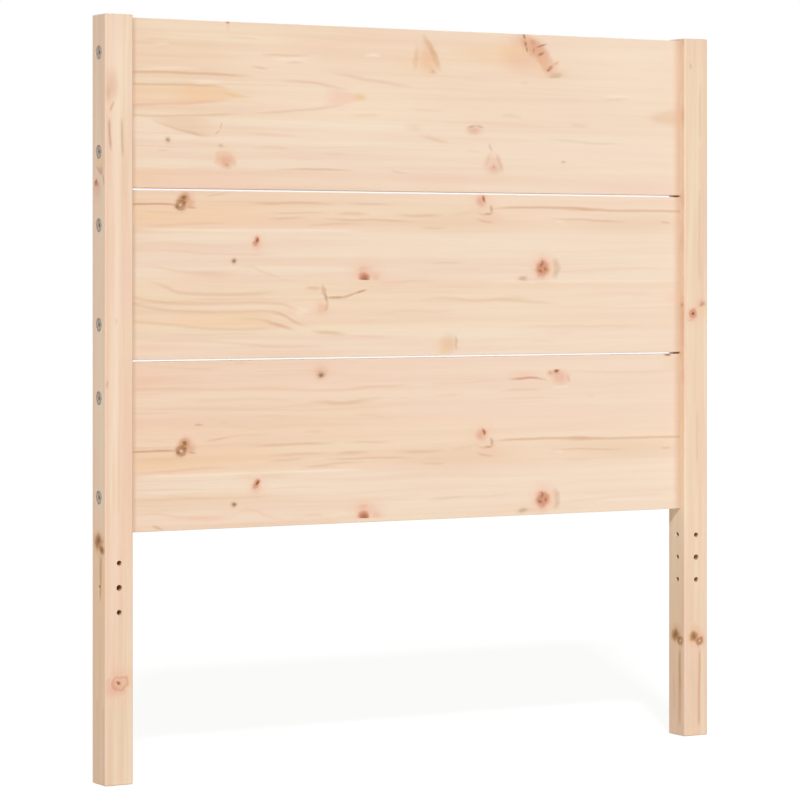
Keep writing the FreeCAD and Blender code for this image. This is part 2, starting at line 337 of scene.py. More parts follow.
ROUND_KNOT_FIGURE = [
    Line("tan", 0.26, 1.4, ((-430, 70), (-380, 69), (-320, 71))),
    Line("tan", 0.34, 1.4, ((-400, 79), (-375, 79.5), (-340, 82), (-215, 83))),
    Line("tan", 0.32, 1.7, ((-430, 102), (-395, 101), (-375, 104.5), (-350, 107), (-290, 109))),
    Line("tan", 0.30, 1.8, ((-290, 108), (-260, 100), (-240, 107), (-220, 113), (-200, 121))),
    Spot("pink", 0.34, -318, 110, 34, 6),
    Line("slate", 0.24, 1.4, ((10, 95), (40, 94.5), (80, 95))),
    Line("tan", 0.22, 1.5, ((220, 108), (300, 104), (380, 102), (430, 104))),
    Line("pale", 0.40, 1.6, ((-262, 55), (-240, 54.5))),
    Knot("blush", -250, 69, 10, 12, 0.1),
    Knot("red", -251, 66, 4.4, 6.4, 0.35),
    Knot("dark", -249.8, 64.5, 2.6, 4.0, 0.5),
    Knot("pin", -284, 92.5, 4.0, 3.6),
    Knot("mark", -284, 92.5, 2.2, 2.0),
    Knot("blush", -84, 108, 20, 13, 0.0, cut=(50, 118)),
    Knot("blush", -87, 103, 9, 5, 0.0, cut=(50, 118)),
    Knot("brick", -86, 114.2, 8.2, 7.0, 0.0, cut=(50, 118)),
    Knot("core", -84.0, 116.4, 7.4, 5.4, 0.0, cut=(50, 118)),
    Knot("blush", -66, 114, 9, 8, 0.0, cut=(50, 118)),
    Knot("blush", 203, 101, 15, 16, 0.2),
    Knot("brick", 202, 102.4, 10.6, 12.0, 0.2),
    Knot("mark", 201.0, 96, 2.6, 5.6, 0.3),
    Knot("mark", 198.5, 105.5, 4.4, 2.6, 0.4),
    Knot("mark", 206.5, 103, 2.0, 3.4, 0.0),
    Spot("amber", 0.60, 213.5, 102, 6, 13),
    Stroke("slate", 0.36, 7.0, (220, 86), (227, 100)),
    Stroke("slate", 0.50, 7.6, (226, 90), (226, 114)),
    Stroke("slate", 0.36, 7.0, (227, 104), (221, 118)),
    Knot("smoke", 170, 116, 9.0, 4.2),
    Knot("smoke", 169.5, 116.5, 6.0, 2.8),
    Line("tan", 0.24, 1.4, ((175, 117), (198, 117.4))),
]

FORKED_KNOT_FIGURE = [
    Line("brown", 0.26, 2.2, ((-418, 118), (-387, 126), (-370, 133), (-350, 135.5), (-300, 136.5),
                              (-250, 136), (-212, 132.5))),
    Line("brown", 0.22, 1.8, ((-END, 137), (-400, 146), (-375, 148.5), (-300, 149), (-215, 149.5),
                            (-200, 153), (-180, 162), (-165, 170))),
    Line("brown", 0.22, 1.8, ((-END, 147), (-400, 155), (-347, 159.5), (-280, 160), (-222, 161),
                            (-205, 167), (-195, 173), (-178, 178.5), (-165, 178))),
    Line("brown", 0.24, 1.8, ((-230, 161), (-205, 167), (-195, 173), (-172, 178.5))),
    Band("amber", 0.34, 6, ((-400, 164), (-300, 163), (-240, 164), (-205, 173)),
         ((-400, 176), (-300, 180), (-240, 180), (-205, 178))),
    Line("moss", 0.40, 1.6, ((-300, 170), (-245, 170), (-228, 174), (-215, 178), (-200, 181))),
    Line("rose", 0.36, 2.2, ((-245, 170.5), (-228, 174.5), (-212, 179.5), (-196, 182))),
    Line("brown", 0.24, 1.9, ((-END, 171), (-380, 176), (-330, 181), (-240, 182.5), (-205, 181))),
    Line("tan", 0.30, 1.4, ((-360, 142), (-300, 143), (-240, 142.6), (-205, 146))),
    Line("tan", 0.26, 1.4, ((-400, 186), (-340, 190), (-280, 189), (-230, 191))),
    Line("russet", 0.26, 2.2, ((-236, 176), (-210, 180), (-188, 186))),
    Spot("amber", 0.20, -410, 172, 40, 12),
    Spot("pale", 0.24, -300, 153, 120, 6),
    Spot("straw", 0.26, -145, 121, 24, 6),
    Spot("straw", 0.14, 150, 128, 150, 9),
    Spot("pale", 0.50, -182, 160, 14, 7),
    Spot("pink", 0.34, -42, 121, 26, 7),
    Stroke("tan", 0.70, 3.6, (-178, 128), (-150, 129)),
    Stroke("brown", 0.50, 5.0, (-153, 122), (-144, 143)),
    Stroke("bark", 0.42, 2.8, (-148, 134), (-140, 150)),
    Stroke("brown", 0.50, 3.4, (-140, 146), (-148, 162)),
    Stroke("brown", 0.60, 2.2, (-146, 142), (-118, 141)),
    Line("brown", 0.62, 1.5, ((-150, 142), (-125, 141.5), (-112, 140), (-96, 135), (-76, 130))),
    Stroke("bark", 0.45, 2.0, (-98, 136), (-80, 131)),
    Knot("sound", -151, 155, 10, 10, 0.2),
    Line("moss", 0.28, 2.2, ((-38, 122), (-10, 119), (30, 120))),
    Line("brown", 0.20, 2.0, ((0, 146), (40, 143), (100, 147), (125, 145), (185, 149), (240, 152))),
    Line("moss", 0.22, 3.0, ((120, 146), (150, 144), (186, 148))),
    Line("tan", 0.28, 1.4, ((-70, 166), (-45, 162), (-10, 160), (15, 161), (66, 160.5))),
    Line("tan", 0.20, 1.3, ((-100, 175), (-60, 172))),
    Line("pink", 0.30, 2.2, ((250, 140), (300, 138), (350, 137.5), (410, 142))),
    Spot("pink", 0.30, 428, 143, 22, 10),
    Line("tan", 0.24, 1.5, ((150, 185), (220, 183), (300, 184), (380, 184.5))),
    Line("tan", 0.22, 1.4, ((0, 128), (60, 127), (110, 129))),
    Line("pale", 0.35, 1.6, ((100, 119.5), (250, 120), (437, 119.5))),
    Line("pale", 0.30, 1.6, ((300, 156), (437, 154))),
]

LOWEST_STAVE_FIGURE = [
    Spot("tan", 0.26, -320, 109, 90, 6),
    Line("brown", 0.34, 2.0, ((-170, 186.5), (-155, 188), (-130, 190), (-110, 192.5))),
    Line("moss", 0.34, 1.6, ((-160, 187), (-120, 188))),
    Line("tan", 0.26, 1.4, ((-110, 193), (-60, 195), (-40, 195))),
    Line("tan", 0.30, 1.6, ((-430, 198), (-350, 197), (-300, 200), (-240, 205), (-200, 206))),
    Line("tan", 0.24, 1.6, ((-280, 204), (-220, 207), (-140, 207))),
    Spot("pink", 0.28, -390, 206, 80, 10),
    Spot("pink", 0.20, -200, 216, 160, 8),
    Spot("brown", 0.34, 48, 206, 16, 16),
    Spot("amber", 0.40, 40, 208, 20, 14),
    Stroke("brown", 0.40, 3.0, (60, 192), (61, 217)),
    Spot("amber", 0.55, 41, 217, 12, 4),
    Spot("pink", 0.12, 230, 190, 40, 10),
    Line("tan", 0.18, 1.4, ((170, 206), (200, 204.5), (235, 206))),
]

# The bottom board: its own two staves, and then the marks that are on no other board
SMALL_KNOT_FIGURE = [
    Spot("pink", 0.26, -415, 25, 40, 22),
    Spot("pink", 0.30, -225, 37, 60, 5),
    Line("tan", 0.30, 1.3, ((-430, 6), (-380, 8), (-330, 9), (-290, 6))),
    Line("tan", 0.26, 1.2, ((-365, 11), (-300, 11.5))),
    Line("tan", 0.30, 1.4, ((-288, 4), (-262, 3.2))),
    Line("tan", 0.36, 1.8, ((-END, 36), (-380, 36), (-300, 38.5), (-230, 38), (-185, 41), (-125, 42),
                            (-80, 39), (-40, 38), (0, 35.5))),
    Line("tan", 0.30, 1.7, ((-370, 50.5), (-300, 51.5), (-230, 52), (-180, 57))),
    Line("brown", 0.32, 2.2, ((-180, 58), (-150, 57), (-125, 59), (-80, 56), (-55, 54))),
    Line("tan", 0.26, 1.5, ((-430, 62), (-350, 63), (-250, 65.5), (-150, 68), (-80, 66), (-30, 66))),
    Line("tan", 0.24, 1.4, ((-265, 75), (-225, 74.5), (-190, 76))),
    Line("tan", 0.22, 1.4, ((-105, 77), (-85, 76), (-55, 80), (-40, 82))),
    Spot("straw", 0.22, -110, 72, 50, 12),
    Spot("pink", 0.16, -65, 74, 40, 10),
    Knot("blush", -152, 15, 14, 9, 0.0, cut=(-3, 81)),
    Knot("pin", -152.5, 21.5, 6.4, 5.0),
    Knot("pin", -152.5, 21.5, 3.4, 2.4),
    Line("tan", 0.26, 1.6, ((0, 35.5), (60, 36), (110, 33), (145, 30.5))),
    Line("russet", 0.70, 1.4, ((141, 31.6), (160, 31.2), (190, 30.6), (202, 32.5), (213, 35.5))),
    Spot("pink", 0.50, 172, 25, 32, 6),
    Spot("rose", 0.62, 232, 30, 18, 13),
    Spot("brown", 0.40, 222, 24, 12, 5),
    Knot("dark", 225, 21.5, 4.4, 3.2, 0.0, cut=(18.5, 81)),
    Knot("faint", 214, 24, 4.6, 3.6, 0.0, cut=(18.5, 81)),
    Stroke("rose", 0.50, 3.0, (246, 25), (247, 39)),
    Line("tan", 0.26, 1.4, ((235, 20), (260, 22), (330, 25), (430, 24))),
    Line("slate", 0.30, 1.5, ((130, 48), (160, 46.5), (185, 46.5), (207, 48))),
    Line("tan", 0.26, 1.5, ((20, 53), (50, 52), (78, 50))),
    Line("tan", 0.24, 1.4, ((125, 60), (180, 58), (235, 60))),
    Line("tan", 0.24, 1.6, ((275, 58), (292, 57))),
    Line("pale", 0.36, 1.6, ((215, 45), (235, 43.5), (250, 44))),
    Knot("dark", 415, 1.5, 6.0, 1.5),
    Spot("moss", 0.20, 425, 15, 20, 12),
]

BOTTOM_MARKS_FIGURE = [
    Spot("tan", 0.32, -240, 153, 60, 8),
    Spot("tan", 0.24, 300, 127, 160, 12),
    Spot("brown", 0.55, -337, 83.5, 9, 2.2),
    Line("tan", 0.26, 1.3, ((-305, 82.5), (-292, 82))),
    Line("tan", 0.36, 1.5, ((-332, 107), (-315, 105), (-300, 101.5), (-285, 100), (-220, 99))),
    Line("tan", 0.34, 1.7, ((-188, 97.5), (-165, 96.5), (-140, 97.5))),
    Line("tan", 0.20, 1.4, ((-430, 103), (-380, 103.5))),
    Line("brown", 0.20, 1.4, ((-190, 144), (-150, 144), (-120, 146))),
    Line("tan", 0.22, 1.4, ((0, 138), (45, 138))),
    Line("tan", 0.22, 1.4, ((235, 148), (265, 147), (292, 149))),
    Line("tan", 0.26, 1.8, ((0, 198), (50, 194), (110, 193), (170, 191))),
    Stroke("brown", 0.45, 2.6, (-408, 213), (-386, 221)),
    Line("tan", 0.34, 1.8, ((-180, 210), (-160, 209), (-145, 211))),
    Spot("amber", 0.40, -140, 218, 16, 4),
    Spot("pink", 0.34, -340, 207, 60, 6),
]

# The posts, a front and a side each. A post's back and its other side repeat them.
LEFT_FRONT_FIGURE = [
    Spot("pale", 0.34, 930, 22, 120, 30),
    Spot("pink", 0.42, 520, 2, 620, 5),
    Spot("pale", 0.40, 560, 15, 560, 8),
    Spot("pink", 0.32, 480, 35, 520, 6),
    Spot("straw", 0.08, 900, 27, 160, 5),
    Spot("rose", 0.24, 905, 6, 26, 12),
    Spot("brown", 0.26, 908, 11, 24, 12),
    Spot("brown", 0.30, 896, 4, 12, 4),
    Line("brown", 0.55, 1.6, ((872, 7), (880, 9), (888, 13))),
    Line("bark", 0.45, 1.5, ((820, 8), (840, 6.6), (868, 5))),
    Line("olive", 0.30, 1.4, ((812, 25), (840, 24), (868, 23.4))),
    Spot("pink", 0.40, 690, 11, 90, 4),
    Spot("rose", 0.40, 602, 16, 5, 2.4),
    Knot("smoke", 519, 2, 5, 2.2),
    Spot("pink", 0.40, 400, 12, 60, 3.5),
    Spot("moss", 0.16, 400, 20, 70, 2.5),
    Line("tan", 0.26, 1.4, ((350, 19), (420, 19.5), (560, 21))),
    Knot("blush", 134, 20, 22, 20),
    Band("rose", 0.34, 3, ((112, -2), (123, -1), (140, -2)), ((112, 22), (123, 30), (140, 6))),
    Knot("ring", 132.5, 21, 9.5, 12.5, 0.0),
    Knot("dark", 132.5, 18.6, 3.0, 3.4),
    Line("amber", 0.45, 3.0, ((122, 34), (140, 35), (158, 33))),
    Line("brown", 0.35, 1.6, ((134, 3), (138, 5), (141, 9))),
    Spot("rose", 0.30, 126, 10, 14, 11),
    Line("tan", 0.28, 3.0, ((0, 22), (60, 24), (118, 26))),
    Line("tan", 0.24, 2.2, ((0, 9), (60, 8), (112, 9))),
]

LEFT_SIDE_FIGURE = [
    Spot("pale", 0.34, 640, 18, 420, 34),
    Spot("pink", 0.30, 500, 34, 620, 6),
    Spot("amber", 0.20, 560, 22, 560, 6),
    Spot("slate", 0.08, 560, 8, 560, 6),
    Spot("amber", 0.45, 190, 18, 180, 26),
    Spot("amber", 0.60, 268, 13, 36, 8),
    Spot("amber", 0.55, 808, 16, 12, 18),
    Spot("russet", 0.50, 797, 13, 7, 8),
    Stroke("brown", 0.50, 3.0, (804, 30), (792, 8)),
    Spot("rose", 0.50, 774, 24, 14, 14),
    Spot("pink", 0.40, 764, 24, 16, 12),
    Stroke("brown", 0.60, 2.4, (796, 8), (776, 3)),
    Knot("brick", 780, 27, 4.6, 6.0),
    Knot("mark", 781.5, 28, 2.6, 4.0),
    Spot("rose", 0.50, 312, 18, 18, 18),
    Spot("brown", 0.55, 314, 20, 16, 17),
    Knot("tawny", 315, 21, 9.4, 10.5),
    Knot("tawny", 305, 10, 5.4, 7.0),
    Spot("amber", 0.50, 262, 8, 62, 9),
    Stroke("bark", 0.5, 2.2, (310, 12), (321, 3)),
    Stroke("bark", 0.60, 3.6, (313, 18), (301, 10)),
    Spot("brown", 0.40, 284, 16, 26, 5),
    Line("bark", 0.50, 2.0, ((236, 14.5), (258, 14), (285, 12.5), (302, 11))),
    Line("brown", 0.24, 3.0, ((0, 23), (60, 23), (118, 24))),
    Line("brown", 0.22, 2.4, ((0, 6), (60, 7), (108, 6))),
    Spot("pink", 0.30, 870, 10, 60, 9),
    Spot("pink", 0.22, 620, 14, 30, 20),
    Spot("pink", 0.26, 190, 18, 22, 16),
]

RIGHT_SIDE_FIGURE = [
    Spot("pale", 0.26, 700, 5, 520, 9),
    Spot("rose", 0.16, 700, 4, 520, 9),
    Spot("amber", 0.36, 150, 20, 190, 26),
    Spot("rose", 0.40, 888, 5, 18, 8),
    Spot("rose", 0.34, 772, 4, 20, 8),
    Spot("rose", 0.30, 712, 6, 24, 8),
    Spot("amber", 0.45, 620, 6, 16, 7),
    Spot("brown", 0.42, 602, 5, 30, 7),
    Knot("faint", 619, 6.5, 3.4, 5.0),
    Spot("rose", 0.40, 570, 6, 20, 7),
    Spot("amber", 0.45, 545, 6, 16, 7),
    Spot("rose", 0.36, 515, 4, 14, 7),
    Spot("amber", 0.30, 455, 5, 40, 8),
    Spot("brown", 0.50, 147, 20, 15, 17),
    Knot("tawny", 142.5, 22, 7.8, 10),
    Knot("eye", 135.5, 11, 5.8, 6.6),
    Line("olive", 0.34, 2.0, ((62, 12), (88, 12), (105, 12.4), (128, 11.4))),
    Line("brown", 0.50, 2.6, ((10, 12.6), (60, 12.2), (105, 12.4), (129, 11.4))),
    Line("brown", 0.22, 2.4, ((20, 13), (60, 12.6), (92, 12))),
    Line("brown", 0.22, 2.2, ((30, 26), (60, 26.5), (90, 27))),
]

RIGHT_FRONT_FIGURE = [
    Knot("smoke", 960.5, 10.6, 4.4, 2.6),
    Line("slate", 0.30, 1.8, ((850, 26.5), (885, 27), (905, 27), (937, 28))),
    Line("slate", 0.32, 2.0, ((650, 26), (690, 25.6), (740, 26), (786, 27))),
    Line("tan", 0.22, 1.6, ((786, 27), (820, 26.6), (852, 26.6))),
    Spot("pink", 0.22, 880, 12, 60, 9),
    Spot("straw", 0.22, 900, 36, 120, 5),
    Knot("faint", 620, 30, 5, 7),
    Stroke("olive", 0.55, 2.6, (617, 24), (618, 37)),
    Spot("amber", 0.40, 612, 33, 16, 9),
    Knot("blush", 603, 13, 12, 14),
    Knot("red", 606, 14.4, 5.8, 7.2),
    Knot("dark", 606, 14.6, 2.4, 3.2),
    Stroke("rose", 0.60, 2.6, (594, 2), (602, 24)),
    Stroke("tan", 0.40, 2.0, (612, 15), (616, 28)),
    Line("slate", 0.26, 1.6, ((390, 22), (430, 22), (470, 21.4))),
    Spot("straw", 0.22, 440, 27, 90, 3.5),
    Knot("blush", 138, 20, 14, 18),
    Spot("brown", 0.46, 146, 18, 14, 13),
    Knot("tawny", 142, 16.2, 7.2, 7.6),
    Knot("eye", 135, 26.0, 5.6, 5.6),
    Spot("rose", 0.50, 136, 29, 13, 9),
    Line("russet", 0.5, 1.8, ((137, 19), (136, 22), (134, 24))),
    Line("brown", 0.62, 1.8, ((10, 25), (60, 25.4), (100, 25.6), (128, 25.8))),
    Line("tan", 0.24, 2.2, ((0, 8), (60, 9), (110, 10))),
]


class Shader:
    """Short calls that add nodes to one node tree and link them up."""

    # The Mix node has a set of sockets for each kind of value. These are the ones for colours.
    MIX_INPUTS = (0, 6, 7)
    MIX_OUTPUT = 2

    def __init__(self, tree):
        self.tree = tree
        self.tree.nodes.clear()

    def node(self, kind, *inputs, **settings):
        """A node with its settings, and its inputs in order: a socket is linked, None is left alone."""
        made = self.tree.nodes.new(kind)
        for key, value in settings.items():
            setattr(made, key, value)
        for slot, value in zip(made.inputs, inputs):
            self.feed(slot, value)
        return made

    def feed(self, slot, value):
        if value is None:
            return
        if isinstance(value, bpy.types.NodeSocket):
            self.tree.links.new(value, slot)
        elif slot.type == "RGBA" and len(value) == 3:
            slot.default_value = (*value, 1.0)
        else:
            slot.default_value = value

    def math(self, operation, *inputs):
        return self.node("ShaderNodeMath", *inputs, operation=operation).outputs[0]

    def vector_math(self, operation, *inputs):
        return self.node("ShaderNodeVectorMath", *inputs, operation=operation).outputs[0]

    def vector_value(self, operation, *inputs):
        return self.node("ShaderNodeVectorMath", *inputs, operation=operation).outputs["Value"]

    def swing(self, value, reach, middle=0.5):
        """How far a value lies from its middle, times a reach."""
        return self.math("MULTIPLY", self.math("SUBTRACT", value, middle), reach)

    def combine(self, x=0.0, y=0.0, z=0.0):
        return self.node("ShaderNodeCombineXYZ", x, y, z).outputs[0]

    def separate(self, vector):
        return self.node("ShaderNodeSeparateXYZ", vector).outputs

    def grey(self, level):
        return self.node("ShaderNodeCombineColor", level, level, level).outputs[0]

    def remap(self, value, low, high, to_low=0.0, to_high=1.0, kind="SMOOTHSTEP"):
        """A value carried over from one range to another. Clamping is off, because a smooth step
        holds its ends anyway, and clamped linear ones overfill the renderer's store of values."""
        made = self.node("ShaderNodeMapRange", value, low, high, to_low, to_high, interpolation_type=kind)
        made.clamp = False
        return made.outputs[0]

    def mix(self, share, first, second, blend="MIX"):
        made = self.node("ShaderNodeMix", data_type="RGBA", blend_type=blend)
        for place, value in zip(self.MIX_INPUTS, (share, first, second)):
            self.feed(made.inputs[place], value)
        return made.outputs[self.MIX_OUTPUT]

    def noise(self, vector, scale, detail, roughness=0.5, output="Fac"):
        made = self.node("ShaderNodeTexNoise", vector)
        made.inputs["Scale"].default_value = scale
        made.inputs["Detail"].default_value = detail
        made.inputs["Roughness"].default_value = roughness
        return made.outputs[output]

    def stretched_noise(self, vector, size, detail=2.0, roughness=0.5, output="Fac"):
        """Noise whose blobs measure about the given lengths."""
        return self.noise(self.vector_math("DIVIDE", vector, size), 1.0, detail, roughness, output)

    def ramp(self, value, stops):
        """A colour ramp. Each stop is a place, a colour and a cover; returns colour and cover."""
        made = self.node("ShaderNodeValToRGB", value)
        elements = made.color_ramp.elements
        while len(elements) < len(stops):
            elements.new(0.5)
        for element, (place, colour, cover) in zip(elements, stops):
            element.position = place
            element.color = (*colour, cover)
        return made.outputs["Color"], made.outputs["Alpha"]

    def curve(self, value, points, straight=False):
        """A free curve through points whose coordinates lie between 0 and 1."""
        made = self.node("ShaderNodeFloatCurve", None, value)
        made.mapping.extend = "HORIZONTAL"
        line = made.mapping.curves[0]
        while len(line.points) < len(points):
            line.points.new(0.5, 0.5)
        for point, (x, y) in zip(line.points, points):
            point.location = (x, y)
            point.handle_type = "VECTOR" if straight else "AUTO"
        made.mapping.update()
        return made.outputs[0]

    def bump(self, height, strength, distance):
        """A surface's relief, as the normal that its shader takes."""
        made = self.node("ShaderNodeBump")
        made.inputs["Strength"].default_value = strength
        made.inputs["Distance"].default_value = distance
        self.feed(made.inputs["Height"], height)
        return made.outputs[0]

    def surface(self, colour, height, heights, roughness, normal=None):
        """The finished surface, whose roughness goes from one value to another as its height does.
        Returns the sockets that its other constants are set on."""
        made = self.node("ShaderNodeBsdfPrincipled")
        self.feed(made.inputs["Base Color"], colour)
        self.feed(made.inputs["Normal"], normal)
        self.feed(made.inputs["Roughness"], self.remap(height, *heights, *roughness, "LINEAR"))
        self.node("ShaderNodeOutputMaterial", made.outputs[0])
        return made.inputs


class Face:
    """Where a figure is drawn. Along and across are the sockets that say where on the wood a point
    lies, in millimetres. Start, length and width are the wood's, fade is how far a line takes to
    come in, and roughen is the socket that keeps knots from being true ovals."""

    # How far past the wood's edges a line's points may lie
    MARGIN = 30.0
    # Half of a line's soft width, for each millimetre of its written width
    LINE_SPREAD = 2.1
    # The most of its length that a line fades in over
    LONGEST_FADE = 0.33
    # Half the width of the glue line that cuts a knot off
    GLUE_LINE = 0.5
    # From where to where a mark thins out, in shares of its radius
    SPOT_EDGE = (0.1, 1.2)
    STROKE_EDGE = (0.3, 1.1)
    # Where a knot's colour ends, in shares of its radius
    KNOT_REACH = 2.0

    def __init__(self, shader, along, across, roughen, start, length, width, fade):
        self.shader = shader
        self.along = along
        self.across = across
        self.roughen = roughen
        self.start = start
        self.end = start + length
        self.span = width + 2 * self.MARGIN
        self.fade = fade
        self.place = shader.remap(across, -self.MARGIN, width + self.MARGIN, kind="LINEAR")
        self.here = shader.combine(along, across)
        self.cuts = {}

    def run(self, points):
        """The stretch along the wood that some points cover, and the share of it that is behind a
        point of the surface: 0 at its first end, 1 at its last."""
        places = [along for along, across in points]
        share = self.shader.remap(self.along, min(places), max(places), kind="LINEAR")
        return Run(min(places), max(places), share)

    def below(self, run, points):
        """How far a point lies below a drawn line, as a share of the face's span."""
        length = run.last - run.first
        shares = [((a - run.first) / length, (c + self.MARGIN) / self.span) for a, c in sorted(points)]
        return self.shader.math("SUBTRACT", self.place, self.shader.curve(run.share, shares))

    def window(self, run, strength):
        """How strongly a drawn line shows along the wood. It fades in and out, but not where it
        runs off the wood's end."""
        fade = min(self.fade / (run.last - run.first), self.LONGEST_FADE)
        opening = 0.0 if run.first > self.start else strength
        closing = 0.0 if run.last < self.end else strength
        stops = ((0.0, opening), (fade, strength), (1.0 - fade, strength), (1.0, closing))
        return self.shader.curve(run.share, stops, straight=True)

    def cut(self, limits):
        """Full strength between two across places and none outside them: one stave of a board."""
        if limits not in self.cuts:
            top, bottom = limits
            into = self.shader.remap(self.across, top - self.GLUE_LINE, top + self.GLUE_LINE)
            out = self.shader.remap(self.across, bottom - self.GLUE_LINE, bottom + self.GLUE_LINE, 1.0, 0.0)
            self.cuts[limits] = self.shader.math("MULTIPLY", into, out)
        return self.cuts[limits]

    def radius(self, along, across, half_length, half_width, turn=0.0):
        """Distance from a mark's middle, where 1 is its edge."""
        axes = [Vector((math.cos(turn), math.sin(turn), 0.0)) / half_length,
                Vector((-math.sin(turn), math.cos(turn), 0.0)) / half_width]
        middle = Vector((along, across, 0.0))
        if turn:
            places = [self.shader.vector_value("DOT_PRODUCT", self.here, axis) for axis in axes]
            here = self.shader.combine(*places)
        else:
            here = self.shader.vector_math("MULTIPLY", self.here, (1 / half_length, 1 / half_width, 0.0))
        middle_there = (middle.dot(axes[0]), middle.dot(axes[1]), 0.0)
        return self.shader.vector_value("DISTANCE", here, middle_there)

    # Each of the next five gives a mark's colour and how far it covers the wood

    def spot(self, item):
        radius = self.radius(item.along, item.across, item.half_length, item.half_width)
        return FIGURE_COLOURS[item.colour], self.shader.remap(radius, *self.SPOT_EDGE, item.strength, 0.0)

    def band(self, item):
        run = self.run(item.upper + item.lower)
        soft = item.soft / 2 / self.span
        inside = self.shader.remap(self.below(run, item.upper), -soft, soft)
        beyond = self.shader.remap(self.below(run, item.lower), -soft, soft, 1.0, 0.0)
        cover = self.shader.math("MULTIPLY", inside, beyond)
        cover = self.shader.math("MULTIPLY", cover, self.window(run, item.strength))
        return FIGURE_COLOURS[item.colour], cover

    def line(self, item):
        run = self.run(item.points)
        away = self.shader.math("ABSOLUTE", self.below(run, item.points))
        near = self.shader.remap(away, 0.0, self.LINE_SPREAD * item.width / self.span, 1.0, 0.0)
        cover = self.shader.math("MULTIPLY", near, self.window(run, item.strength))
        return FIGURE_COLOURS[item.colour], cover

    def stroke(self, item):
        middle = [(a + b) / 2 for a, b in zip(item.start, item.end)]
        along, across = [b - a for a, b in zip(item.start, item.end)]
        turn = math.atan2(across, along)
        radius = self.radius(*middle, math.hypot(along, across) / 2, item.half_width, turn)
        return FIGURE_COLOURS[item.colour], self.shader.remap(radius, *self.STROKE_EDGE, item.strength, 0.0)

    def knot(self, item):
        radius = self.radius(item.along, item.across, item.half_length, item.half_width, item.turn)
        radius = self.shader.math("ADD", radius, self.roughen)
        stops = [(place / self.KNOT_REACH, FIGURE_COLOURS[name], cover)
                 for place, name, cover in KNOT_KINDS[item.kind]]
        tint, cover = self.shader.ramp(self.shader.math("DIVIDE", radius, self.KNOT_REACH), stops)
        if item.cut:
            cover = self.shader.math("MULTIPLY", cover, self.cut(item.cut))
        return tint, cover

    def draw(self, colour, figure):
        """The wood's colour with a figure laid over it: its spots first, and its knots last."""
        layers = {Spot: self.spot, Band: self.band, Line: self.line, Stroke: self.stroke, Knot: self.knot}
        order = list(layers)
        for item in sorted(figure, key=lambda mark: order.index(type(mark))):
            tint, cover = layers[type(item)](item)
            colour = self.shader.mix(cover, colour, tint)
        return colour


# The noise that the grain is mixed from: how large its blobs are in millimetres along, across and
# through the wood, its detail and its roughness
RING_NOISE = ((900.0, 5.2, 60.0), 3.0, 0.62)
FIBRE_NOISE = ((36.0, 0.55, 0.55), 3.0, 0.6)
STREAK_NOISE = ((420.0, 5.0, 8.0), 3.0, 0.6)
SWAY_NOISE = ((260.0, 46.0, 30.0), 2.0, 0.5)
PATCH_NOISE = ((170.0, 24.0, 24.0), 2.0, 0.5)
TONE_NOISE = ((330.0, 34.0, 60.0), 2.0, 0.5)
WANDER_NOISE = ((34.0, 12.0, 12.0), 2.0, 0.5)
# This one is across, along and through, so that the soft bands don't follow the other noise
BAND_NOISE = ((11.0, 480.0, 16.0), 2.0, 0.5)
# How large the bites are that keep a knot from being a true oval
BOARD_KNOT_BITES = (9.0, 9.0, 12.0)
POST_KNOT_BITES = (8.0, 8.0, 8.0)

# Between which values each noise goes from nothing to full
RING_RANGE = (0.50, 0.72)
PATCH_RANGE = (0.40, 0.62)
STREAK_RANGE = (0.30, 0.70)
TONE_RANGE = (0.34, 0.66)
BAND_RANGE = (0.40, 0.70)
FIBRE_RANGE = (0.30, 0.70)
HEIGHT_RANGE = (0.2, 0.8)
PORE_RANGE = (0.30, 0.70)

# How far the grain sways to and fro, and how far drawn lines wander along and across
SWAY = 26.0
WANDER_ALONG = 9.0
WANDER_ACROSS = 2.6
# The finest wander, for each unit of the grain's height from its mean
FINE_WANDER = 0.8
MEAN_HEIGHT = 0.4
# How much a knot's radius varies round its edge
KNOT_UNEVEN = 0.5

# The streaks' share in the change between the two base colours
STREAK_SHARE = 0.10
# The least that rings show between the patches where they show fully
FAINT_RINGS = 0.25

# The planed surface: how strong its bump is, how much it shines, and how far its roughness goes
# up and down with the grain
GRAIN_BUMP = 0.35
GRAIN_SPECULAR = 0.2
ROUGHNESS_CHANGE = 0.06

# Every board and post is cut from its own stretch of the wood, this many millimetres on
BOARDS_APART = 1700.0
POSTS_FROM = 4000.0
POSTS_APART = 1300.0
# How far the rings slant for each millimetre through a board, and from front to back of a post
BOARD_SLANT = 0.45
POST_SLANT = 0.9
# Where a board's ends get painted shade, standing in for the shade in the corners beside the posts,
# in millimetres from the end. The left post hides the first few of the left end from the camera.
SHADE_LEFT = (5.5, 11.5)
SHADE_RIGHT = 15.0
# The heights between which the legs grow lighter: painted shade, darker towards the floor
PAINTED_SHADE_HEIGHTS = (60.0, 330.0)
# How far below a post's faces a point starts to count, and counts fully, as a drilled hole's wall, which
# gets the rough wall's colour with painted shade in it
HOLE_WALL_AND_SHADE_DEPTH = (0.5, 2.5)
# Between which parts of its normal along an axis a surface goes over to facing that way:
# sideways or up, dead level, and to the back or the right
FACING = (0.55, 0.85)
FACING_LEVEL = (0.985, 0.995)
FACING_AWAY = (-0.1, 0.1)

# The sawn end of a post: where the heart of the tree lies and how wide the rings are, millimetres
HEART = (26.0, -34.0, 0.0)
RING_WIDTH = 3.4
# How far the rings stray from true circles, over which length, and how large the pores are
RING_STRAY = 5.0
RING_STRAY_SIZE = (14.0, 14.0, 14.0)
PORE_SIZE = (0.5, 0.5, 0.5)
PORE_SHADE = (0.84, 0.98)
# How far through each ring its late wood starts and is darkest
LATE_WOOD_FROM = 0.62
LATE_WOOD_DARKEST = 0.90


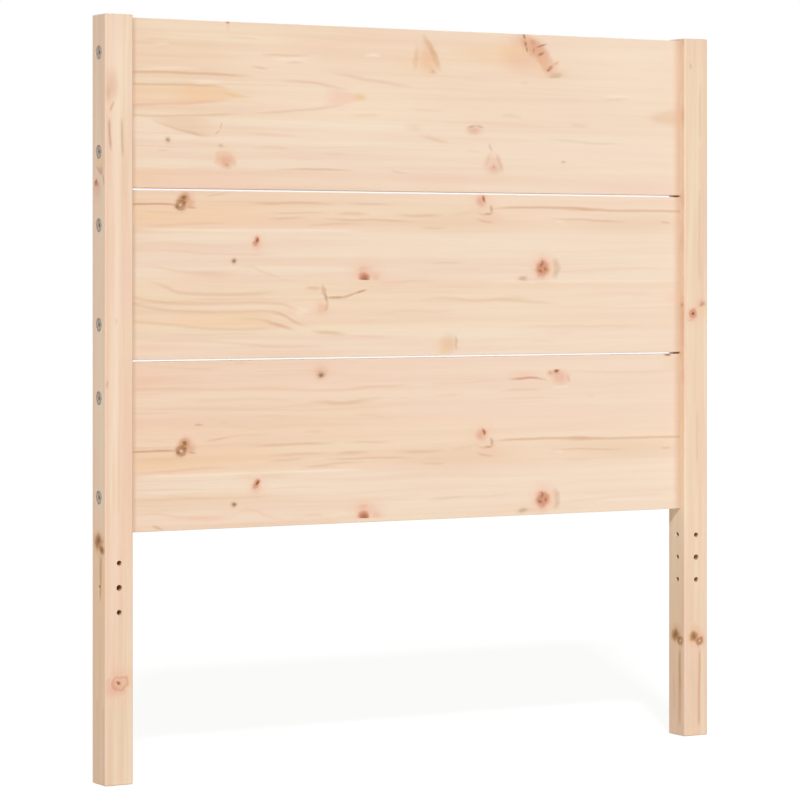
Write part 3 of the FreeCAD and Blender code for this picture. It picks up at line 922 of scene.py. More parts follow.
def grain(shader, wood, along, across, through, lean=None):
    """Plain planed pine: its colour and a height for bump, without knots. Lean is a colour that
    the wood leans to below its bands and rings."""
    place = shader.combine(along, across, through)
    sway = shader.swing(shader.stretched_noise(place, *SWAY_NOISE), SWAY)
    across_swayed = shader.math("ADD", across, sway)
    rings_at = shader.combine(along, shader.math("ADD", across_swayed, through), through)
    rings = shader.remap(shader.stretched_noise(rings_at, *RING_NOISE), *RING_RANGE)
    patches = shader.stretched_noise(place, *PATCH_NOISE)
    rings = shader.math("MULTIPLY", rings, shader.remap(patches, *PATCH_RANGE, FAINT_RINGS, 1.0))
    swayed = shader.combine(along, across_swayed, through)
    fibre = shader.stretched_noise(swayed, *FIBRE_NOISE)
    tone = shader.stretched_noise(place, *TONE_NOISE)
    streaks = shader.stretched_noise(swayed, *STREAK_NOISE)
    streaks = shader.remap(streaks, *STREAK_RANGE, -STREAK_SHARE, STREAK_SHARE, "LINEAR")
    tone = shader.math("ADD", tone, streaks)
    bands = shader.stretched_noise(shader.combine(across, along, through), *BAND_NOISE)
    colour = shader.mix(shader.remap(tone, *TONE_RANGE), wood.pink_tone, wood.straw_tone)
    if lean:
        colour = shader.mix(wood.stave_tones, colour, lean)
    colour = shader.mix(shader.remap(bands, *BAND_RANGE, 0.0, wood.band_contrast), colour, wood.band_tone)
    colour = shader.mix(shader.math("MULTIPLY", rings, wood.ring_contrast), colour, wood.late_wood)
    dimmest = 1.0 - wood.fibre_contrast
    brightest = 1.0 + wood.fibre_contrast
    fibre_shade = shader.remap(fibre, *FIBRE_RANGE, dimmest, brightest, "LINEAR")
    colour = shader.mix(1.0, colour, shader.grey(fibre_shade), "MULTIPLY")
    height = shader.math("ADD", shader.math("MULTIPLY", fibre, 0.5), shader.math("MULTIPLY", rings, 0.5))
    return colour, height


def finish_wood(shader, wood, colour, height):
    """The planed, bare surface: colour, soft sheen and the slight relief of the grain."""
    roughness = (wood.roughness - ROUGHNESS_CHANGE, wood.roughness + ROUGHNESS_CHANGE)
    normal = shader.bump(height, GRAIN_BUMP, wood.relief)
    constants = shader.surface(colour, height, HEIGHT_RANGE, roughness, normal)
    constants["Specular IOR Level"].default_value = GRAIN_SPECULAR


def object_place(shader):
    """A point's place in the part's own frame, in millimetres."""
    place = shader.node("ShaderNodeTexCoord").outputs["Object"]
    return shader.separate(shader.vector_math("SCALE", place, None, None, 1 / MM))


def wandering(shader, along, across, through, height):
    """Small wavering offsets, so that drawn lines look grown and not ruled. The finest follow the
    grain's height. That also keeps the material within the renderer's store of values: a figure
    that hangs on the grain is worked out after it, and not held ready beside it."""
    place = shader.combine(along, across, through)
    slow = shader.separate(shader.stretched_noise(place, *WANDER_NOISE, output="Color"))
    along = shader.math("ADD", along, shader.swing(slow[0], WANDER_ALONG))
    across = shader.math("ADD", across, shader.swing(slow[1], WANDER_ACROSS))
    fine = shader.swing(height, FINE_WANDER, MEAN_HEIGHT)
    return shader.math("ADD", along, fine), shader.math("ADD", across, fine)


def knot_edge(shader, place, size):
    """A small change of radius that keeps knots from being true ovals."""
    return shader.swing(shader.stretched_noise(place, size), KNOT_UNEVEN)


def new_material(name):
    material = bpy.data.materials.new(name)
    material.use_nodes = True
    return material, Shader(material.node_tree)


def figure_group(name, figure, start, length, width, fade):
    """A drawn figure as a node group: it takes bare wood's colour and lays the figure over it."""
    tree = bpy.data.node_groups.new(name, "ShaderNodeTree")
    tree.interface.new_socket("Wood", in_out="INPUT", socket_type="NodeSocketColor")
    for socket in ("Along", "Across", "Roughen"):
        tree.interface.new_socket(socket, in_out="INPUT", socket_type="NodeSocketFloat")
    tree.interface.new_socket("Figured wood", in_out="OUTPUT", socket_type="NodeSocketColor")
    shader = Shader(tree)
    wood, along, across, roughen = shader.node("NodeGroupInput").outputs[:4]
    face = Face(shader, along, across, roughen, start, length, width, fade)
    shader.node("NodeGroupOutput", face.draw(wood, figure))
    return tree


def lay_figure(shader, group, wood, along, across, roughen):
    made = shader.tree.nodes.new("ShaderNodeGroup")
    made.node_tree = group
    for slot, value in zip(made.inputs, (wood, along, across, roughen)):
        shader.feed(slot, value)
    return made.outputs[0]


def board_material(row, wood, figures, staves):
    """Pine for one board: staves glued edge to edge, each with its own tone, and the drawn figures.
    Each figure comes with how far down the board it lies."""
    low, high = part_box(row + "_board")
    material, shader = new_material("pine_" + row + "_board")
    x, y, z = object_place(shader)
    board_height = (high.z - low.z) / MM
    depth = shader.math("SUBTRACT", high.z / MM, z)
    through = shader.math("SUBTRACT", y, low.y / MM)
    slanted = shader.math("ADD", depth, shader.math("MULTIPLY", through, BOARD_SLANT))
    stops = [(0.0, STAVE_TONES[staves[0][1]], 1.0)]
    for (_, above), (start, below) in zip(staves, staves[1:]):
        stops.append(((start - STAVE_BLUR) / board_height, STAVE_TONES[above], 1.0))
        stops.append(((start + STAVE_BLUR) / board_height, STAVE_TONES[below], 1.0))
    lean, _ = shader.ramp(shader.math("DIVIDE", depth, board_height), stops)
    piece_along = shader.math("ADD", x, ROWS.index(row) * BOARDS_APART)
    colour, height = grain(shader, wood, piece_along, slanted, through, lean)
    along, across = wandering(shader, x, slanted, through, height)
    roughen = knot_edge(shader, shader.combine(x, slanted, through), BOARD_KNOT_BITES)
    half = (high.x - low.x) / 2 / MM
    paler = shader.remap(x, -half, half, 0.0, wood.paler_right, "LINEAR")
    colour = shader.mix(paler, colour, wood.pale_tone)
    # Painted shade: the boards' ends darken where they meet the posts, standing in for the shade in those
    # corners
    beside = shader.remap(x, SHADE_LEFT[0] - half, SHADE_LEFT[1] - half, wood.painted_shade_left, 0.0)
    colour = shader.mix(beside, colour, wood.painted_shade_tone)
    beside = shader.remap(x, half - SHADE_RIGHT, half, 0.0, wood.painted_shade_right)
    colour = shader.mix(beside, colour, wood.painted_shade_tone)
    for figure, down in figures:
        here = shader.math("SUBTRACT", across, down)
        colour = lay_figure(shader, figure, colour, along, here, roughen)
    finish_wood(shader, wood, colour, height)
    return material


def end_grain(shader, wood, x, y):
    """The sawn end of a post: rings round a heart that lies outside the post."""
    place = shader.combine(x, y)
    stray = shader.stretched_noise(place, RING_STRAY_SIZE)
    from_heart = shader.vector_value("DISTANCE", place, HEART)
    from_heart = shader.math("ADD", from_heart, shader.math("MULTIPLY", stray, RING_STRAY))
    ring = shader.math("FRACT", shader.math("DIVIDE", from_heart, RING_WIDTH))
    pores = shader.stretched_noise(place, PORE_SIZE)
    tones = ((0.0, wood.straw_tone, 1.0), (LATE_WOOD_FROM, wood.pink_tone, 1.0),
             (LATE_WOOD_DARKEST, wood.late_wood, 1.0), (1.0, wood.straw_tone, 1.0))
    colour, _ = shader.ramp(ring, tones)
    pore_shade = shader.remap(pores, *PORE_RANGE, *PORE_SHADE, "LINEAR")
    return shader.mix(1.0, colour, shader.grey(pore_shade), "MULTIPLY")


def post_material(side, wood, front_figure, side_figure):
    """Pine for one post: one figure on its front and back, another on its two sides, and end grain
    on its top and foot."""
    low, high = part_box(side + "_post")
    material, shader = new_material("pine_" + side + "_post")
    x, y, z = object_place(shader)
    from_left = shader.math("SUBTRACT", x, low.x / MM)
    from_front = shader.math("SUBTRACT", y, low.y / MM)
    nx, ny, nz = shader.separate(shader.node("ShaderNodeNewGeometry").outputs["True Normal"])
    along = shader.math("ADD", z, POSTS_FROM + POSTS_APART * SIDES.index(side))
    sum_across = shader.math("ADD", from_left, shader.math("MULTIPLY", from_front, POST_SLANT))
    colour, height = grain(shader, wood, along, sum_across, from_front)
    # Painted shade: the legs darken towards the floor, standing in for light that falls off there
    painted_low_shade = shader.remap(z, *PAINTED_SHADE_HEIGHTS, wood.painted_leg_shade, 1.0)
    colour = shader.mix(1.0, colour, shader.grey(painted_low_shade), "MULTIPLY")
    roughen = knot_edge(shader, shader.combine(z, from_left, from_front), POST_KNOT_BITES)
    turned = shader.math("SUBTRACT", (high.z - low.z) / MM, z)
    faces = []
    for figure, across, facing in ((front_figure, from_left, ny), (side_figure, from_front, nx)):
        hidden = shader.remap(facing, *FACING_AWAY)
        up = shader.node("ShaderNodeMix", hidden, None, z, turned).outputs[0]
        up, across = wandering(shader, up, across, from_front, height)
        faces.append(lay_figure(shader, figure, colour, up, across, roughen))
    sideways = shader.remap(shader.math("ABSOLUTE", nx), *FACING)
    colour = shader.mix(sideways, *faces)
    cut_across = shader.remap(shader.math("ABSOLUTE", nz), *FACING)
    colour = shader.mix(cut_across, colour, end_grain(shader, wood, from_left, from_front))
    # Drilled holes' walls: partly the rough wall's own darker colour, partly painted shade inside the holes
    to_right = shader.math("SUBTRACT", (high.x - low.x) / MM, from_left)
    to_back = shader.math("SUBTRACT", (high.y - low.y) / MM, from_front)
    from_sides = shader.math("MINIMUM", from_left, to_right)
    deep = shader.math("MINIMUM", from_sides, shader.math("MINIMUM", from_front, to_back))
    level = shader.remap(shader.math("ABSOLUTE", nz), *FACING_LEVEL, 1.0, 0.0)
    drilled = shader.math("MULTIPLY", shader.remap(deep, *HOLE_WALL_AND_SHADE_DEPTH), level)
    colour = shader.mix(drilled, colour, wood.drilled)
    finish_wood(shader, wood, colour, height)
    return material


def dress(node, material):
    """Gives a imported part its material."""
    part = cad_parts[node]
    part.data.materials.clear()
    part.data.materials.append(material)


class HeadboardWood(bpy.types.PropertyGroup):
    pink_tone: bpy.props.FloatVectorProperty(
        name="Pink tone", description="The warmer of the wood's two base colours",
        subtype="COLOR", size=3, min=0.0, max=1.0, default=srgb(239, 206, 183))
    straw_tone: bpy.props.FloatVectorProperty(
        name="Straw tone", description="The yellower of the wood's two base colours",
        subtype="COLOR", size=3, min=0.0, max=1.0, default=srgb(240, 218, 190))
    pale_tone: bpy.props.FloatVectorProperty(
        name="Pale tone", description="What the boards lean to at their right end",
        subtype="COLOR", size=3, min=0.0, max=1.0, default=srgb(245, 225, 205))
    late_wood: bpy.props.FloatVectorProperty(
        name="Late wood", description="Colour of the darker part of each growth ring",
        subtype="COLOR", size=3, min=0.0, max=1.0, default=srgb(228, 190, 154))
    band_tone: bpy.props.FloatVectorProperty(
        name="Band tone", description="Colour of the soft bands that run with the grain",
        subtype="COLOR", size=3, min=0.0, max=1.0, default=srgb(233, 198, 170))
    # Colour of the painted shade at the boards' ends beside the posts
    painted_shade_tone: bpy.props.FloatVectorProperty(
        name="Beside the posts", description="What the boards' ends darken to where they meet the posts",
        subtype="COLOR", size=3, min=0.0, max=1.0, default=srgb(213, 181, 156))
    # Partly the rough walls' own colour, partly painted shade inside the holes
    drilled: bpy.props.FloatVectorProperty(
        name="Drilled", description="Colour of the rough walls of the drilled holes",
        subtype="COLOR", size=3, min=0.0, max=1.0, default=srgb(205, 165, 128))
    band_contrast: bpy.props.FloatProperty(
        name="Band contrast", description="How strongly the soft bands show",
        subtype="FACTOR", min=0.0, max=1.0, default=0.55)
    ring_contrast: bpy.props.FloatProperty(
        name="Ring contrast", description="How strongly the growth rings show",
        subtype="FACTOR", min=0.0, max=1.0, default=0.45)
    fibre_contrast: bpy.props.FloatProperty(
        name="Fibre contrast", description="Brightness change of the finest fibres",
        subtype="FACTOR", min=0.0, max=0.2, default=0.026)
    stave_tones: bpy.props.FloatProperty(
        name="Stave tones", description="How far each stave of a board leans to its own tone",
        subtype="FACTOR", min=0.0, max=1.0, default=0.5)
    paler_right: bpy.props.FloatProperty(
        name="Paler to the right", description="How far the boards' right end leans to the pale tone",
        subtype="FACTOR", min=0.0, max=1.0, default=0.55)
    # How strongly the painted shade beside each post shows
    painted_shade_left: bpy.props.FloatProperty(
        name="Beside the left post", description="How far the boards' left ends darken",
        subtype="FACTOR", min=0.0, max=1.0, default=0.62)
    painted_shade_right: bpy.props.FloatProperty(
        name="Beside the right post", description="How far the boards' right ends darken",
        subtype="FACTOR", min=0.0, max=1.0, default=0.8)
    # Painted shade low on the legs, standing in for light falling off near the floor
    painted_leg_shade: bpy.props.FloatProperty(
        name="Low on the legs", description="Brightness of the legs near the floor",
        subtype="FACTOR", min=0.0, max=1.0, default=0.94)
    roughness: bpy.props.FloatProperty(
        name="Roughness", description="Roughness of the planed, bare wood",
        subtype="FACTOR", min=0.1, max=1.0, default=0.62)
    relief: bpy.props.FloatProperty(
        name="Relief", description="Height of the grain on the planed surface",
        unit="LENGTH", min=0.0, default=0.12 * MM)


class HeadboardFasteners(bpy.types.PropertyGroup):
    shank_radius: bpy.props.FloatProperty(
        name="Shank radius", description="Radius of a bolt's shank and thread",
        unit="LENGTH", min=0.0, default=3.0 * MM)
    thread_pitch: bpy.props.FloatProperty(
        name="Thread pitch", description="Distance from one turn of the thread to the next",
        unit="LENGTH", min=0.0001, default=1.0 * MM)
    thread_depth: bpy.props.FloatProperty(
        name="Thread depth", description="How deep the bolt's thread is",
        unit="LENGTH", min=0.0, default=0.6 * MM)
    thread_length: bpy.props.FloatProperty(
        name="Thread length", description="How much of the bolt is threaded",
        unit="LENGTH", min=0.0, default=25.0 * MM)
    head_thickness: bpy.props.FloatProperty(
        name="Head thickness", description="Thickness of a bolt's head",
        unit="LENGTH", min=0.0, default=2.0 * MM)
    key_size: bpy.props.FloatProperty(
        name="Key size", description="Width across the flats of the hex socket",
        unit="LENGTH", min=0.0, default=4.0 * MM)
    socket_depth: bpy.props.FloatProperty(
        name="Socket depth", description="Depth of the hex socket",
        unit="LENGTH", min=0.0, default=3.0 * MM)
    slot_width: bpy.props.FloatProperty(
        name="Slot width", description="Width of the slot in a barrel nut's end",
        unit="LENGTH", min=0.0, default=1.2 * MM)
    slot_depth: bpy.props.FloatProperty(
        name="Slot depth", description="Depth of the slot in a barrel nut's end",
        unit="LENGTH", min=0.0, default=1.2 * MM)
    flutes: bpy.props.IntProperty(
        name="Flutes", description="Number of flutes round a dowel", min=3, default=20)
    flute_depth: bpy.props.FloatProperty(
        name="Flute depth", description="Depth of a dowel's flutes",
        unit="LENGTH", min=0.0, default=0.35 * MM)


class HeadboardStage(bpy.types.PropertyGroup):
    key_strength: bpy.props.FloatProperty(
        name="Key light", description="Strength of the soft light from the front", min=0.0, default=2.24)
    back_strength: bpy.props.FloatProperty(
        name="Back fill", description="Strength of the weak light from behind", min=0.0, default=0.7)
    world_strength: bpy.props.FloatProperty(
        name="Room light", description="Strength of the even light from all round",
        min=0.0, default=0.28)
    key_height: bpy.props.FloatProperty(
        name="Key height", description="How high above level the key light stands",
        subtype="ANGLE", default=math.radians(38.6))
    key_swing: bpy.props.FloatProperty(
        name="Key swing", description="How far to the left of the front the key light stands",
        subtype="ANGLE", default=math.radians(27))
    key_softness: bpy.props.FloatProperty(
        name="Key softness", description="How wide the key light looks from the headboard",
        subtype="ANGLE", default=math.radians(6))
    floor_size: bpy.props.FloatProperty(
        name="Floor size", description="Side of the square floor", unit="LENGTH", min=1.0, default=60.0)


class HEADBOARD_OT_boards(bpy.types.Operator):
    """Give the three boards their glued pine staves, knots and grain"""
    bl_idname = "headboard.boards"
    bl_label = "Boards"

    def execute(self, context):
        wood = context.scene.headboard_wood
        low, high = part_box("top_board")
        start = low.x / MM
        length = (high.x - low.x) / MM
        width = (high.z - low.z) / MM

        def group(name, figure):
            return figure_group(name, figure, start, length, width, BOARD_FADE)

        double_knot = group("double_knot_stave", DOUBLE_KNOT_FIGURE)
        round_knot = group("round_knot_stave", ROUND_KNOT_FIGURE)
        top = ((group("top_board_knots", TOP_KNOTS_FIGURE), 0.0),
               (group("top_board_streaks", TOP_STREAKS_FIGURE), 0.0))
        middle = ((double_knot, 0.0), (round_knot, 0.0),
                  (group("forked_knot_stave", FORKED_KNOT_FIGURE), 0.0),
                  (group("lowest_stave", LOWEST_STAVE_FIGURE), 0.0))
        bottom = ((group("small_knot_staves", SMALL_KNOT_FIGURE), 0.0),
                  (group("bottom_board_marks", BOTTOM_MARKS_FIGURE), 0.0),
                  (double_knot, BOTTOM_SHIFT), (round_knot, BOTTOM_SHIFT))
        dress("top_board", board_material("top", wood, top, TOP_STAVES))
        dress("middle_board", board_material("middle", wood, middle, MIDDLE_STAVES))
        dress("bottom_board", board_material("bottom", wood, bottom, BOTTOM_STAVES))
        return {"FINISHED"}


class HEADBOARD_OT_posts(bpy.types.Operator):
    """Give the two posts their pine, with a figure for each face"""
    bl_idname = "headboard.posts"
    bl_label = "Posts"

    def execute(self, context):
        wood = context.scene.headboard_wood
        low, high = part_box("left_post")
        length = (high.z - low.z) / MM
        width = (high.x - low.x) / MM
        figures = {"left": (LEFT_FRONT_FIGURE, LEFT_SIDE_FIGURE),
                   "right": (RIGHT_FRONT_FIGURE, RIGHT_SIDE_FIGURE)}
        for side, (front_figure, side_figure) in figures.items():
            front = figure_group(side + "_post_front", front_figure, 0.0, length, width, POST_FADE)
            flank = figure_group(side + "_post_flank", side_figure, 0.0, length, width, POST_FADE)
            dress(side + "_post", post_material(side, wood, front, flank))
        return {"FINISHED"}


# Zinc plate: its two greys, its finish, and the scale of its mottle and scratches
ZINC_DARK = srgb(148, 135, 122)
ZINC_LIGHT = srgb(182, 169, 156)
ZINC_METALLIC = 0.8
ZINC_ROUGHNESS = (0.42, 0.56)
MOTTLE_SCALE = 380.0
MOTTLE_RANGE = (0.35, 0.65)
SCRATCH_SCALE = 700.0
SCRATCH_STRETCH = (1.0, 9.0, 1.0)
SCRATCH_RANGE = (0.3, 0.7)
SCRATCH_BUMP = 0.2
SCRATCH_DEPTH = 0.05 * MM
# Beech: its colour, its flecks' colour and size, and its finish
BEECH = srgb(222, 182, 142)
BEECH_FLECK = srgb(188, 140, 100)
BEECH_ROUGHNESS = (0.55, 0.68)
FLECK_SIZE = (4.0 * MM, 0.4 * MM, 0.4 * MM)
FLECK_RANGE = (0.45, 0.65)
FLECK_ROUGHNESS_RANGE = (0.3, 0.7)


def zinc_material(name):
    """Zinc plate: satin grey metal with fine scratches and a slight mottle."""
    material, shader = new_material(name)
    place = shader.node("ShaderNodeTexCoord").outputs["Object"]
    mottle = shader.remap(shader.noise(place, MOTTLE_SCALE, 3.0), *MOTTLE_RANGE)
    scratches = shader.noise(shader.vector_math("MULTIPLY", place, SCRATCH_STRETCH), SCRATCH_SCALE, 2.0)
    colour = shader.mix(mottle, ZINC_DARK, ZINC_LIGHT)
    normal = shader.bump(scratches, SCRATCH_BUMP, SCRATCH_DEPTH)
    constants = shader.surface(colour, scratches, SCRATCH_RANGE, ZINC_ROUGHNESS, normal)
    constants["Metallic"].default_value = ZINC_METALLIC
    return material


def beech_material():
    """Turned beech: pinkish brown with short dark flecks."""
    material, shader = new_material("turned_beech")
    place = shader.node("ShaderNodeTexCoord").outputs["Object"]
    flecks = shader.stretched_noise(place, FLECK_SIZE)
    colour = shader.mix(shader.remap(flecks, *FLECK_RANGE), BEECH, BEECH_FLECK)
    shader.surface(colour, flecks, FLECK_ROUGHNESS_RANGE, BEECH_ROUGHNESS)
    return material


def skin(rings, corners):
    """A closed surface round the X axis, from the first ring to the last. A ring is a place along
    the axis and a radius, or a function that gives the radius from the place and the angle."""
    shape = bmesh.new()
    loops = []
    for x, radius in rings:
        loop = []
        for corner in range(corners):
            angle = math.tau * corner / corners
            out = radius(x, angle) if callable(radius) else radius
            loop.append(shape.verts.new((x, out * math.cos(angle), out * math.sin(angle))))
        loops.append(loop)
    for near, far in zip(loops, loops[1:]):
        for corner in range(corners):
            after = (corner + 1) % corners
            shape.faces.new((near[corner], near[after], far[after], far[corner]))
    shape.faces.new(loops[0])
    shape.faces.new(loops[-1])
    bmesh.ops.recalc_face_normals(shape, faces=shape.faces)
    return shape


def settled(shape, name):
    """The mesh of a finished shape, smooth but for its sharp edges."""
    for face in shape.faces:
        face.smooth = True
    for edge in shape.edges:
        edge.smooth = edge.calc_face_angle(0.0) < SHARP_EDGE
    mesh = bpy.data.meshes.new(name)
    shape.to_mesh(mesh)
    shape.free()
    return mesh


def difference(body, *cutters):
    """The mesh of a body with the cutters taken out of it. None of them stays in the scene."""
    blocks = []
    for mesh in (body, *cutters):
        block = bpy.data.objects.new("block", mesh)
        bpy.context.scene.collection.objects.link(block)
        blocks.append(block)
    for cutter in blocks[1:]:
        cut = blocks[0].modifiers.new("cut", "BOOLEAN")
        cut.operation = "DIFFERENCE"
        cut.solver = "EXACT"
        cut.object = cutter
    evaluated = blocks[0].evaluated_get(bpy.context.evaluated_depsgraph_get())
    shaped = bpy.data.meshes.new_from_object(evaluated)
    for block in blocks:
        bpy.data.objects.remove(block)
    return shaped


def thread_rise(pitch, x, angle):
    """Where a point round the X axis lies on a thread: 0 half-way between two turns, 1 on a turn."""
    turn = (x / pitch - angle / math.tau) % 1.0
    return abs(2 * turn - 1)


# A bolt head's rounded rim, in millimetres: how far below its face, and how far in from its side
HEAD_RIM = ((0.0, 1.1), (0.1, 0.45), (0.45, 0.0))
# The socket's eased mouth: where its flats begin, and its edge's depth and reach past the corners
SOCKET_FLATS = 0.5 * MM
SOCKET_EDGE = 0.02 * MM
SOCKET_EASE = 0.25 * MM
# How many rings draw one turn of a bolt's thread and of a nut's
BOLT_RINGS = 6
NUT_RINGS = 4
# A barrel nut's and a dowel's chamfer, and the nut's thread: its room round the bolt and its depth
NUT_RIM = 0.4 * MM
DOWEL_RIM = 1.0 * MM
NUT_CLEARANCE = 0.05 * MM
NUT_THREAD_DEPTH = 0.35 * MM
# How far what cuts a barrel nut stands out of its sides
CUT_PAST = 1.0 * MM
# The higher this is, the narrower a dowel's flutes
FLUTE_SHARPNESS = 3


def bolt_mesh(sizes, length, head_radius):
    """A bolt along X from the face of its head: a thin head with a rounded rim and a hex socket,
    a plain shank and a rolled thread with a chamfered tip."""
    shank = sizes.shank_radius
    key = sizes.key_size / 2
    corner = math.radians(30)

    def hexagon(x, angle):
        return key / math.cos(angle % (2 * corner) - corner)

    def thread(x, angle):
        depth = sizes.thread_depth * thread_rise(sizes.thread_pitch, x, angle)
        return min(shank - depth, shank - sizes.thread_depth + length - x)

    thread_from = length - sizes.thread_length
    rings = [(sizes.socket_depth, hexagon), (SOCKET_FLATS, hexagon)]
    rings.append((SOCKET_EDGE, key / math.cos(corner) + SOCKET_EASE))
    rings += [(down * MM, head_radius - inward * MM) for down, inward in HEAD_RIM]
    rings += [(sizes.head_thickness, head_radius), (sizes.head_thickness, shank), (thread_from, shank)]
    step = sizes.thread_pitch / BOLT_RINGS
    for number in range(1, int(sizes.thread_length / step)):
        rings.append((thread_from + number * step, thread))
    rings.append((length, shank - sizes.thread_depth))
    return settled(skin(rings, corners=48), "bolt")


def barrel_nut_mesh(sizes, length, radius):
    """A barrel nut across the board, with its threaded hole along X and a slot in the end
    that shows at the back."""
    half = length / 2
    flat = half - NUT_RIM
    outline = [(-half, radius - NUT_RIM), (-flat, radius), (flat, radius), (half, radius - NUT_RIM)]
    bar = skin(outline, corners=64)
    bmesh.ops.rotate(bar, verts=bar.verts, matrix=Matrix.Rotation(math.pi / 2, 3, "Z"))

    def thread(x, angle):
        depth = NUT_THREAD_DEPTH * (1 - thread_rise(sizes.thread_pitch, x, angle))
        return sizes.shank_radius + NUT_CLEARANCE + depth

    reach = radius + CUT_PAST
    step = sizes.thread_pitch / NUT_RINGS
    turns = int(reach / step)
    hole = skin([(number * step, thread) for number in range(-turns, turns + 1)], corners=32)
    slot = bmesh.new()
    bmesh.ops.create_cube(slot, size=1.0)
    bmesh.ops.scale(slot, verts=slot.verts, vec=(2 * reach, 2 * sizes.slot_depth, sizes.slot_width))
    bmesh.ops.translate(slot, verts=slot.verts, vec=(0.0, half, 0.0))
    cutters = [settled(hole, "threaded_hole"), settled(slot, "slot")]
    shape = bmesh.new()
    shape.from_mesh(difference(settled(bar, "bar"), *cutters))
    return settled(shape, "barrel_nut")


def dowel_mesh(sizes, length, radius):
    """A dowel along X with straight flutes and chamfered ends."""
    def fluted(x, angle):
        hollow = 0.5 - 0.5 * math.cos(angle * sizes.flutes)
        return radius - sizes.flute_depth * hollow ** FLUTE_SHARPNESS

    half = length / 2
    flat = half - DOWEL_RIM
    rings = [(-half, radius - DOWEL_RIM), (-flat, fluted), (0.0, fluted), (flat, fluted)]
    rings.append((half, radius - DOWEL_RIM))
    return settled(skin(rings, corners=6 * sizes.flutes), "dowel")


def places(*parts):
    """What tells like pieces apart, such as left_top_upper, for every side and row in turn."""
    return ["_".join(names) for names in product(SIDES, ROWS, *parts)]


def stand_in(name, mesh, place, turned, node):
    """A detailed piece at its place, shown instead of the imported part. Turned faces it to the right."""
    piece = bpy.data.objects.new(name, mesh)
    piece.location = place
    piece.rotation_euler = (0.0, 0.0, math.pi if turned else 0.0)
    bpy.context.scene.collection.objects.link(piece)
    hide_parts(node)
    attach(piece, "root")


class HEADBOARD_OT_bolts(bpy.types.Operator):
    """Put in the twelve bolts, with hex sockets and rolled threads"""
    bl_idname = "headboard.bolts"
    bl_label = "Bolts"

    def execute(self, context):
        low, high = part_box("bolt_left_top_upper")
        mesh = bolt_mesh(context.scene.headboard_fasteners, high.x - low.x, (high.z - low.z) / 2)
        mesh.materials.append(zinc_material("zinc_bolt"))
        for place in places(LEVELS):
            low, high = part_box("bolt_" + place)
            on_right = place.startswith("right")
            head_x = high.x if on_right else low.x
            head = Vector((head_x, (low.y + high.y) / 2, (low.z + high.z) / 2))
            stand_in("threaded_bolt_" + place, mesh, head, on_right, "bolt_" + place)
        return {"FINISHED"}


class HEADBOARD_OT_barrel_nuts(bpy.types.Operator):
    """Put in the twelve barrel nuts, with their slots and threaded holes"""
    bl_idname = "headboard.barrel_nuts"
    bl_label = "Barrel Nuts"

    def execute(self, context):
        low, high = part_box("barrel_nut_left_top_upper")
        mesh = barrel_nut_mesh(context.scene.headboard_fasteners, high.y - low.y, (high.z - low.z) / 2)
        mesh.materials.append(zinc_material("zinc_barrel_nut"))
        for place in places(LEVELS):
            low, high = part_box("barrel_nut_" + place)
            middle = (low + high) / 2
            stand_in("slotted_nut_" + place, mesh, middle, False, "barrel_nut_" + place)
        return {"FINISHED"}


class HEADBOARD_OT_dowels(bpy.types.Operator):
    """Put in the six fluted beech dowels"""
    bl_idname = "headboard.dowels"
    bl_label = "Dowels"

    def execute(self, context):
        low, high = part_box("dowel_left_top")
        mesh = dowel_mesh(context.scene.headboard_fasteners, high.x - low.x, (high.z - low.z) / 2)
        mesh.materials.append(beech_material())
        for place in places():
            low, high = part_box("dowel_" + place)
            stand_in("fluted_dowel_" + place, mesh, (low + high) / 2, False, "dowel_" + place)
        return {"FINISHED"}


# The photograph's camera, level, with its horizon above the middle of the picture
PICTURE_WIDTH = 800
FOCAL_PIXELS = 3326.67
HORIZON_PIXEL = 270.9
MIDDLE_PIXEL = 400.3
SENSOR_WIDTH = 36.0
CAMERA_PLACE = (-2.3290, -3.9206, 0.66685)
CAMERA_SWING = math.radians(30.46)
SEES_AS_FAR_AS = 100.0

# The weak light from behind
BACK_HEIGHT = math.radians(40)
BACK_SWING = math.radians(-150)
BACK_SOFTNESS = math.radians(30)

WHITE = (1.0, 1.0, 1.0)
# What the camera sees of the floor: this share of plain glow, the rest the lit floor's shadow
FLOOR_GLOW_SHARE = 0.80
FLOOR_GLOW = 1.1
FLOOR_COLOUR = srgb(240, 238, 234)


def make_camera(scene):
    lens = bpy.data.cameras.new("camera")
    lens.sensor_width = SENSOR_WIDTH
    lens.lens = FOCAL_PIXELS / PICTURE_WIDTH * SENSOR_WIDTH
    lens.shift_x = (PICTURE_WIDTH / 2 - MIDDLE_PIXEL) / PICTURE_WIDTH
    lens.shift_y = (HORIZON_PIXEL - PICTURE_WIDTH / 2) / PICTURE_WIDTH
    lens.clip_end = SEES_AS_FAR_AS
    camera = bpy.data.objects.new("camera", lens)
    camera.location = CAMERA_PLACE
    camera.rotation_euler = (math.pi / 2, 0.0, -CAMERA_SWING)
    scene.collection.objects.link(camera)
    scene.camera = camera


def make_sun(scene, name, strength, height, swing, softness):
    """A soft distant lamp. Swing turns it to the left of the headboard's front."""
    lamp = bpy.data.lights.new(name, "SUN")
    lamp.energy = strength
    lamp.angle = softness
    sun = bpy.data.objects.new(name, lamp)
    level = math.cos(height)
    toward = Vector((-math.sin(swing) * level, -math.cos(swing) * level, math.sin(height)))
    sun.rotation_euler = toward.to_track_quat("Z", "Y").to_euler()
    scene.collection.objects.link(sun)


def seen_directly(shader):
    """1 where the camera looks, also by a gloss or through glass, and 0 for other light."""
    path = shader.node("ShaderNodeLightPath").outputs
    seen = shader.math("MAXIMUM", path["Is Camera Ray"], path["Is Glossy Ray"])
    return shader.math("MAXIMUM", seen, path["Is Transmission Ray"])


